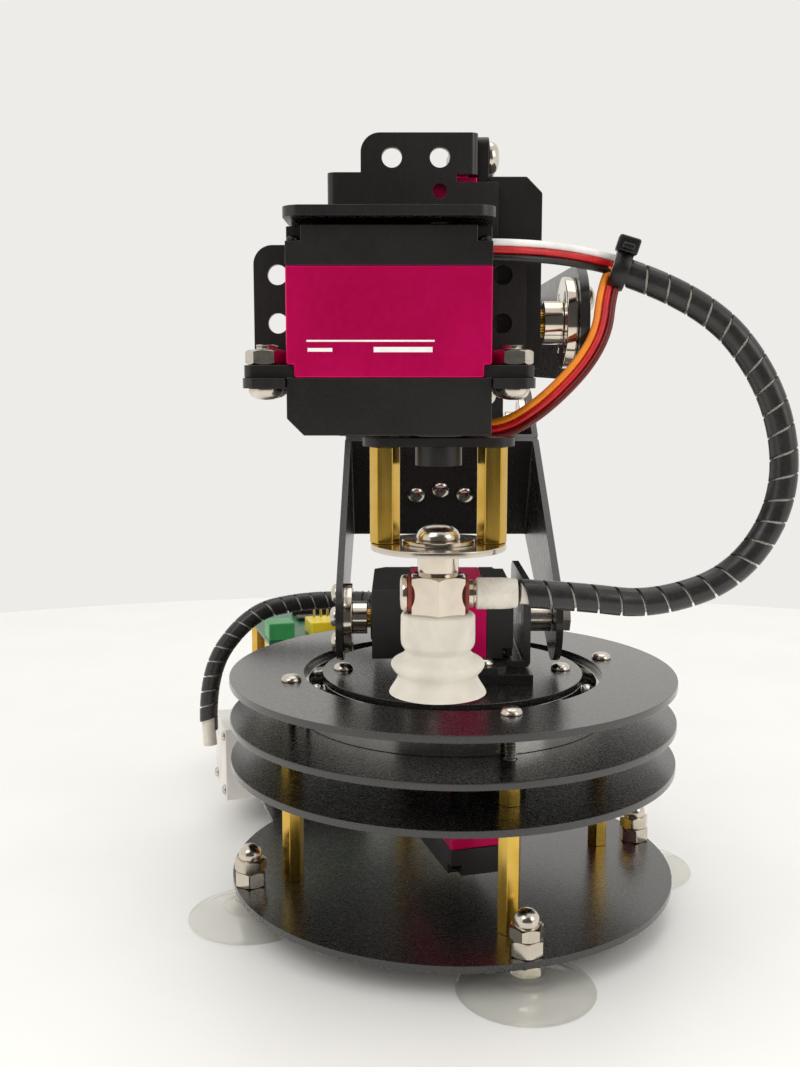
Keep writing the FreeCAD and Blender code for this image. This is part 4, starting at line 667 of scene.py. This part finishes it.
def splined(name, node, body, axis):
    """a toothed shaft in the place of a CAD rod"""
    teeth, steps_per_tooth, root_share = 25, 4, 0.9
    low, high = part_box(node)
    centre = (low + high) / 2
    span = [high[at] - low[at] for at in range(3)]
    length = span[[abs(x) for x in axis].index(1)]
    radius = min(span) / 2
    steps = teeth * steps_per_tooth
    place = along(centre - Vector(axis) * length / 2, Vector(axis))
    bm = bmesh.new()
    rings = []
    for z in (0, length):
        ring = []
        for step in range(steps):
            angle = 2 * math.pi * step / steps
            reach = radius * (1.0 if step % steps_per_tooth in (0, 1) else root_share)
            ring.append(bm.verts.new(place @ Vector((reach * math.cos(angle), reach * math.sin(angle), z))))
        rings.append(ring)
        bm.faces.new(ring)
    for step in range(steps):
        ahead = (step + 1) % steps
        bm.faces.new([rings[0][step], rings[0][ahead], rings[1][ahead], rings[1][step]])
    made = put(name, bm, brass)
    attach(made, body)
    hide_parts(node)


splined("base_splined_shaft", "base_shaft", "turntable", (0, 0, 1))

# Shoulder servo, lying in its folded bracket on the riser. The bracket is aluminium sheet, laser cut,
# folded and anodised satin black.
# black anodising: satin, with the sheet's rolling grain faintly under it
anodised = surface("black_anodised_sheet", "#2a2726", "#211f1e", 30, (0.22, 0.3), 1.2, 0.0015, (1, 1, 0.3))
dress(anodised, 0.25, "shoulder_bracket")
dress(nylon, 0.45, "shoulder_servo_covers")
dress(magenta, 0.4, "shoulder_servo_case")
fasteners("turntable_machine_screws", "turntable_bolts", "turntable", screw_steel)
shoulder_servo = servo_place((-23.3, 0, 84.5), (0, 1, 0), (0, 0, -1), (-1, 0, 0))
case_screws("shoulder_case_screws", "turntable", shoulder_servo)

# Upper arm: two folded and anodised U brackets, back to back, on chromed horns at the shoulder and
# the elbow.
dress(anodised, 0.25, "upper_arm_bracket", "elbow_yoke")
dress(chrome, 0.3, "shoulder_horn", "elbow_horn")
splined("shoulder_splined_shaft", "shoulder_shaft", "upper_arm", (1, 0, 0))
splined("elbow_splined_shaft", "elbow_shaft", "upper_arm", (1, 0, 0))
fasteners("upper_arm_machine_screws", "upper_arm_screws", "upper_arm", screw_steel)

# Forearm: one long U bracket of folded and anodised sheet, bolted to the front of the elbow servo's
# bracket, with the wrist's chromed horn on its right leg.
dress(anodised, 0.25, "forearm_bracket", "elbow_bracket")
dress(nylon, 0.45, "elbow_servo_covers")
dress(magenta, 0.4, "elbow_servo_case")
dress(chrome, 0.3, "pitch_horn")
splined("pitch_splined_shaft", "pitch_shaft", "forearm", (1, 0, 0))
fasteners("forearm_machine_screws", "forearm_bolts", "forearm", screw_steel)
elbow_servo = servo_place((20.6, 85.264, 136.75), (0, 0, 1), (0, -1, 0), (1, 0, 0))
case_screws("elbow_case_screws", "forearm", elbow_servo)

# Wrist: the pitch servo and the yaw servo in two folded and anodised brackets, screwed back to back, with
# plated bolts and nuts through the servos' ears.
dress(anodised, 0.25, "pitch_bracket", "yaw_bracket")
dress(nylon, 0.45, "pitch_servo_covers", "yaw_servo_covers")
dress(magenta, 0.4, "pitch_servo_case", "yaw_servo_case")
fasteners("wrist_machine_screws", "wrist_bolts", "wrist", screw_steel)
pitch_servo = servo_place((14.7, -74.736, 166.75), (0, 0, 1), (0, -1, 0), (1, 0, 0))
yaw_servo = servo_place((-7.4, -99.736, 143.75), (-1, 0, 0), (0, 1, 0), (0, 0, -1))
case_screws("wrist_case_screws", "wrist", pitch_servo, yaw_servo)
# print: thin white ink, a rule with two short bars under it, on the yaw servo's front
ink = surface("white_screen_ink", "#f0edea", "#e4e0dc", 3, (0.4, 0.5), 0.6, 0.004)
face_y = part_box("yaw_servo_case")[0].y
ink_proud, ink_sunk = 0.03 * mm, 0.05 * mm
# left, right, low and high of the rule and the two bars, in mm
print_marks = ((-33.4, -8.6, 161.9, 162.25), (-33.2, -28.4, 160.0, 160.7), (-20.4, -9.0, 159.9, 160.9))
bm = bmesh.new()
for left, right, low, high in print_marks:
    bar(bm, (left * mm, face_y - ink_proud, low * mm), (right * mm, face_y + ink_sunk, high * mm))
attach(put("servo_label_print", bm, ink), "wrist")

# Tool: horn bar under the yaw servo, two brass hex pillars, and a nickel-plated round plate with its
# washer and dome screw.
dress(nylon, 0.3, "tool_horn")
dress(brass, 0.35, "tool_standoffs")
dress(nickel, 0.2, "tool_plate")
tool_x, tool_y = -7.4 * mm, -99.736 * mm
plate_low, plate_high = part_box("tool_plate")[0].z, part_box("tool_plate")[1].z
washer_rise, screw_radius, screw_rise, screw_turn = 0.8, 4.5 * mm, 3 * mm, 0.4
washer_profile = [(2.6, 0), (7.3, 0), (7.5, 0.15), (7.5, 0.6), (7.3, washer_rise), (2.6, washer_rise)]
shank_profile = [(0, -3.8), (2.4, -3.8), (2.4, 0.9), (0, 0.9)]
tool_top = Matrix.Translation((tool_x, tool_y, plate_high))
bm = bmesh.new()
lathe(bm, in_mm(washer_profile), tool_top, 64)
head_place = tool_top @ Matrix.Translation((0, 0, washer_rise * mm))
headed(bm, head_place, screw_radius, screw_rise, screw_turn)
lathe(bm, in_mm(shank_profile), tool_top, 32)
dome_screw = put("tool_dome_screw", bm, nickel)
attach(dome_screw, "tool")
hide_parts("tool_screw")

# Vacuum fitting: turned from hexagon bar with chamfered corners; its plug and hose barb screw in on red
# fibre washers, and all of it but the washers is chromed.
hex_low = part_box("suction_cup")[1].z
hex_flats, hex_height, hex_turn = 11 * mm, 8.2 * mm, math.radians(30)
neck_sunk, neck_radius, neck_end_radius = 0.2 * mm, 4.2 * mm, 3.9 * mm
neck_start, neck_soft = 0.5 * mm, 0.3 * mm
neck = plate_low - hex_low - hex_height
plug_profile = [(0, -0.5), (2.6, -0.5), (2.6, 0.8), (3.8, 0.8), (4, 1.0), (4, 1.6), (3.7, 2.1), (2.8, 2.4),
                (0, 2.4)]
barb_profile = [(0, -0.5), (2.6, -0.5), (2.6, 0.8), (2.9, 0.8), (2.9, 1.7), (2.3, 1.9), (2.3, 4), (0, 4)]
side = Matrix.Translation((tool_x, tool_y, hex_low + hex_height / 2))
plug = side @ facing_left @ Matrix.Translation((0, 0, hex_flats / 2))
barb = side @ facing_right @ Matrix.Translation((0, 0, hex_flats / 2))
bm = bmesh.new()
nut(bm, Matrix.Translation((tool_x, tool_y, hex_low)), hex_flats, hex_height, None, hex_turn,
    (False, True), 96)
lathe(bm, [(0, -neck_sunk), (neck_end_radius, -neck_sunk), (neck_radius, neck_start),
           (neck_radius, neck - neck_soft), (neck_end_radius, neck), (0, neck)],
      Matrix.Translation((tool_x, tool_y, hex_low + hex_height)), 48)
lathe(bm, in_mm(plug_profile), plug, 48)
lathe(bm, in_mm(barb_profile), barb, 48)
fitting = put("vacuum_hex_fitting", bm, chrome)
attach(fitting, "tool")
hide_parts("vacuum_fitting")
# vulcanised fibre: dense red-brown paper board
fibre = surface("vulcanised_red_fibre", "#8c3325", "#74281d", 2, (0.5, 0.62), 0.3, 0.02)
dress(fibre, 0.1, "fibre_washers")
# polyethylene hose: milky and waxy
milky = surface("milky_polyethylene_hose", "#dcd6cb", "#cbc5ba", 4, (0.24, 0.34), 0.8, 0.01,
                **{"Subsurface Weight": 0.5, "Subsurface Radius": (0.004, 0.004, 0.0035)})
hose_end_profile = [(2.35, 2.4), (3.0, 2.3), (3.3, 2.6), (3.3, 7.4), (3.2, 9.2), (2.95, 10.9), (2.5, 10.9),
                    (2.35, 2.4)]
bm = bmesh.new()
lathe(bm, in_mm(hose_end_profile), barb, 48)
stub = put("hose_end", bm, milky)
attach(stub, "tool")
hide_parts("hose_stub")

# Bellows cup: one moulding of frosted silicone pushed over the fitting's lower end, with a sleeve, a
# waist, one rounded bellows fold and a thin flared lip round an open hollow.
cup_low, cup_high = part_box("suction_cup")
cup_place = Matrix.Translation(((cup_low.x + cup_high.x) / 2, (cup_low.y + cup_high.y) / 2, cup_high.z))


def eased(points, steps):
    """points along a smooth curve through the given ones"""
    made = []
    padded = [points[0]] + points + [points[-1]]
    for a, b, c, d in zip(padded, padded[1:], padded[2:], padded[3:]):
        for step in range(steps):
            t = step / steps
            made.append(tuple(0.5 * (2 * q + (r - p) * t + (2 * p - 5 * q + 4 * r - s) * t ** 2
                                     + (3 * q - p - 3 * r + s) * t ** 3)
                              for p, q, r, s in zip(a, b, c, d)))
    return made + [points[-1]]


outside = [(7.1, 0.0), (7.65, -0.4), (7.75, -1.5), (7.75, -5.6), (7.5, -6.8), (6.85, -7.9), (7.6, -8.9),
           (9.3, -9.9), (9.8, -10.8), (9.3, -11.9), (8.45, -12.9), (8.5, -13.8), (9.3, -15.2),
           (10.0, -16.3), (10.18, -16.8)]
hollow = [(9.7, -16.98), (8.9, -16.2), (7.6, -14.2), (7.3, -13.0), (8.1, -11.8), (8.4, -10.8), (7.6, -9.9),
          (5.6, -8.6), (4.0, -7.6), (2.3, -6.9), (2.0, -6.2)]
mouth = (2.0, 0.0)
between = 4
profile = [mouth] + eased(outside, between) + eased(hollow, between) + [mouth]
bm = bmesh.new()
lathe(bm, in_mm(profile), cup_place, 72)
bmesh.ops.remove_doubles(bm, verts=bm.verts, dist=0.001 * mm)
# silicone: frosted, lets light through and scatters it
silicone = surface("frosted_silicone", "#d9d4c8", "#cdc8bc", 5, (0.36, 0.46), 0.5, 0.015,
                   **{"Subsurface Weight": 0.75, "Subsurface Radius": (0.006, 0.0055, 0.005), "IOR": 1.41})
cup = put("bellows_cup", bm, silicone)
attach(cup, "tool")
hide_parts("suction_cup")


# Vacuum hose and wiring looms: a milky hose bound in glossy black spiral wrap, 6 mm across. One loops
# from the tie at the wrist down to the fitting, and one runs from the shoulder servo to the pump.
def routed(points_mm):
    """points along the smooth line that a cord's route points pull"""
    curve = bpy.data.curves.new("route", "CURVE")
    curve.dimensions = "3D"
    curve.resolution_u = 24
    line = curve.splines.new("NURBS")
    line.points.add(len(points_mm) - 1)
    for spot, point in zip(line.points, points_mm):
        spot.co = (point[0] * mm, point[1] * mm, point[2] * mm, 1)
    line.order_u = 3
    line.use_endpoint_u = True
    holder = bpy.data.objects.new("route", curve)
    scene.collection.objects.link(holder)
    bpy.context.view_layer.update()
    drawn = bpy.data.meshes.new_from_object(holder.evaluated_get(bpy.context.evaluated_depsgraph_get()))
    spots = [vert.co.copy() for vert in drawn.vertices]
    bpy.data.objects.remove(holder)
    bpy.data.curves.remove(curve)
    bpy.data.meshes.remove(drawn)
    return spots


def run(spots):
    """distance along a line at each of its points"""
    at = [0.0]
    for before, after in zip(spots, spots[1:]):
        at.append(at[-1] + (after - before).length)
    return at


def carried(spots):
    """(point, direction, side, other side) along a line, the sides carried on without twist"""
    frames = []
    side = None
    for step, spot in enumerate(spots):
        ahead = (spots[min(step + 1, len(spots) - 1)] - spots[max(step - 1, 0)]).normalized()
        side = ahead.orthogonal() if side is None else side - ahead * side.dot(ahead)
        side.normalize()
        frames.append((spot, ahead, side.copy(), ahead.cross(side)))
    return frames


def tube(bm, spots, radius, index=0, steps=16, shift=None):
    """a round tube with closed ends along a line, or along one set off to its side"""
    rings = []
    for spot, ahead, side, other in carried(spots):
        centre = spot if shift is None else spot + shift(ahead)
        rings.append([bm.verts.new(centre + (side * math.cos(2 * math.pi * turn / steps)
                                             + other * math.sin(2 * math.pi * turn / steps)) * radius)
                      for turn in range(steps)])
    for low, high in zip(rings, rings[1:]):
        for turn in range(steps):
            following = (turn + 1) % steps
            bm.faces.new([low[turn], low[following], high[following], high[turn]]).material_index = index
    bm.faces.new(rings[0]).material_index = index
    bm.faces.new(rings[-1]).material_index = index


def spiral(bm, spots, start, stop, pitch, band, outer, wall, index):
    """a flat band wound round a line from start to stop along it"""
    frames = carried(spots)
    at = run(spots)

    def frame_at(distance):
        distance = min(max(distance, 0.0), at[-1] - 1e-9)
        step = max(k for k in range(len(at) - 1) if at[k] <= distance)
        share = (distance - at[step]) / (at[step + 1] - at[step])
        return [one.lerp(two, share) for one, two in zip(frames[step], frames[step + 1])]

    soft, steps_per_turn = 0.12 * mm, 24
    half = band / 2
    across = [band * share for share in (-0.25, 0, 0.25)]
    section = [(-half, outer - wall), (-half, outer - soft), (-half + soft, outer)]
    section += [(offset, outer) for offset in across]
    section += [(half - soft, outer), (half, outer - soft), (half, outer - wall)]
    section += [(offset, outer - wall) for offset in reversed(across)]
    count = int((stop - start - band) / pitch * steps_per_turn)
    rings = []
    for step in range(count + 1):
        angle = 2 * math.pi * step / steps_per_turn
        ring = []
        for offset, radius in section:
            spot, ahead, side, other = frame_at(start + half + pitch * step / steps_per_turn + offset)
            ring.append(bm.verts.new(spot + (side * math.cos(angle) + other * math.sin(angle)) * radius))
        rings.append(ring)
    for low, high in zip(rings, rings[1:]):
        for corner in range(len(section)):
            following = (corner + 1) % len(section)
            face = bm.faces.new([low[corner], low[following], high[following], high[corner]])
            face.material_index = index
    bm.faces.new(rings[0]).material_index = index
    bm.faces.new(rings[-1]).material_index = index


# polyethylene wrap: extruded, glossy black, pulled a little uneven along its length
wrap_black = surface("black_polyethylene_wrap", "#2b2a29", "#222120", 6, (0.22, 0.34), 1.2, 0.02)
loom_radius, hose_radius, wrap_wall, wrap_pitch, wrap_band = 3 * mm, 2.25 * mm, 0.7 * mm, 5 * mm, 4.5 * mm
under_tie, past_end, extension = 1 * mm, 1.9 * mm, 2 * mm
vacuum_route = [(29.8, -84.036, 177.95), (49, -86.036, 171.95), (64, -89.036, 152.95),
                (67.5, -91.036, 130.95), (57, -93.536, 113.25), (38, -96.236, 107.25),
                (22, -99.136, 109.75), (9.6, -99.736, 110.55)]
vacuum_line = routed(vacuum_route)
bm = bmesh.new()
tube(bm, vacuum_line, hose_radius)
vacuum_length = run(vacuum_line)[-1]
wrap_line = vacuum_line + [vacuum_line[-1] + (vacuum_line[-1] - vacuum_line[-2]).normalized() * extension]
spiral(bm, wrap_line, under_tie, vacuum_length + past_end, wrap_pitch, wrap_band, loom_radius, wrap_wall, 1)
vacuum_loom = put("vacuum_hose_loom", bm, milky, wrap_black)
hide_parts("vacuum_loom")
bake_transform(vacuum_loom)

bare_start, bare_end = 2 * mm, 5 * mm
left_route = [(-18.7, 30, 81.5), (-19.2, 47, 80), (-32, 58, 78.5), (-49, 56, 78.5), (-66, 50, 75.5),
              (-81, 46, 54.5), (-79, 45, 31.5)]
left_line = routed(left_route)
bm = bmesh.new()
tube(bm, left_line, hose_radius)
left_length = run(left_line)[-1]
spiral(bm, left_line, bare_start, left_length - bare_end, wrap_pitch, wrap_band, loom_radius, wrap_wall, 1)
left_loom = put("shoulder_wiring_loom", bm, milky, wrap_black)
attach(left_loom, "turntable")
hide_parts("left_loom")

# Servo leads: flat ribbons of three PVC-insulated wires, from the two wrist servos into the loom under
# the tie.
wire_radius, wire_pitch = 0.75 * mm, 1.48 * mm
# PVC insulation: clear, even colours with a soft shine
pvc_colours = (("white", "#efecea", "#e2dedb"), ("red", "#c8141c", "#b00f17"),
               ("black", "#1b1918", "#131211"), ("orange", "#ee8a12", "#e07c0a"),
               ("brown", "#6d1512", "#5b100e"))
pvc = {}
for name, tone, shade in pvc_colours:
    pvc[name] = surface("%s_pvc_insulation" % name, tone, shade, 4, (0.26, 0.36), 0.8, 0.006)


def ribbon(name, node, route, colours):
    """three wires side by side, flat to the front"""
    line = routed(route)
    bm = bmesh.new()
    for index, lane in enumerate((1, 0, -1)):
        tube(bm, line, wire_radius, index, 12,
             lambda ahead, lane=lane: Vector((-ahead.z, 0, ahead.x)).normalized() * wire_pitch * lane)
    made = put(name, bm, *[pvc[colour] for colour in colours])
    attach(made, "wrist")
    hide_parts(node)


white_route = [(2.6, -99.736, 180.25), (13, -98.536, 180.25), (27.4, -84.736, 179.35), (30.2, -84.2, 178.5)]
orange_route = [(-9, -79.036, 156.75), (-9, -81.036, 146.95), (3.5, -86.536, 142.45), (14, -92.536, 147.95),
                (27, -89.036, 161.45), (28.8, -84.936, 174.6), (30.6, -84.3, 177.2)]
ribbon("yaw_servo_lead", "white_lead", white_route, ("white", "red", "black"))
ribbon("pitch_servo_lead", "orange_lead", orange_route, ("orange", "red", "brown"))

# Cable tie: moulded black nylon, pulled tight round the loom's start and the ends of the two leads, its
# buckle upright and its tail cut short.
# tie nylon: satin black, finely grained
tie_nylon = surface("black_nylon_tie", "#171616", "#100f0f", 3, (0.34, 0.44), 0.5, 0.008)
tie_axis = (Vector(vacuum_route[1]) - Vector(vacuum_route[0])).normalized()
tie_place = along(Vector(vacuum_route[0]) * mm, tie_axis)
upright = tie_place.to_3x3().inverted() @ Vector((-0.25, 0, 1))
tie_place = tie_place @ Matrix.Rotation(math.atan2(upright.y, upright.x), 4, "Z")
band_profile = [(3.02, 0.1), (4.0, 0.0), (4.2, 0.3), (4.2, 3.2), (4.0, 3.5), (3.02, 3.4), (3.02, 0.1)]
# two corners and edge rounding of the buckle and of the tail, in mm
tie_blocks = (((3.7, -2.4, -0.6), (7.2, 2.4, 4.1), 0.5), ((4.3, 2.2, 0.5), (5.5, 5.6, 3.0), 0.3))
bm = bmesh.new()
lathe(bm, in_mm(band_profile), tie_place, 48)
for low, high, soft in tie_blocks:
    block = bar(bm, [x * mm for x in low], [x * mm for x in high], tie_place)
    softened(bm, block, soft, 3)
tie = put("cable_tie_with_buckle", bm, tie_nylon)
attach(tie, "wrist")
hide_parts("cable_tie")
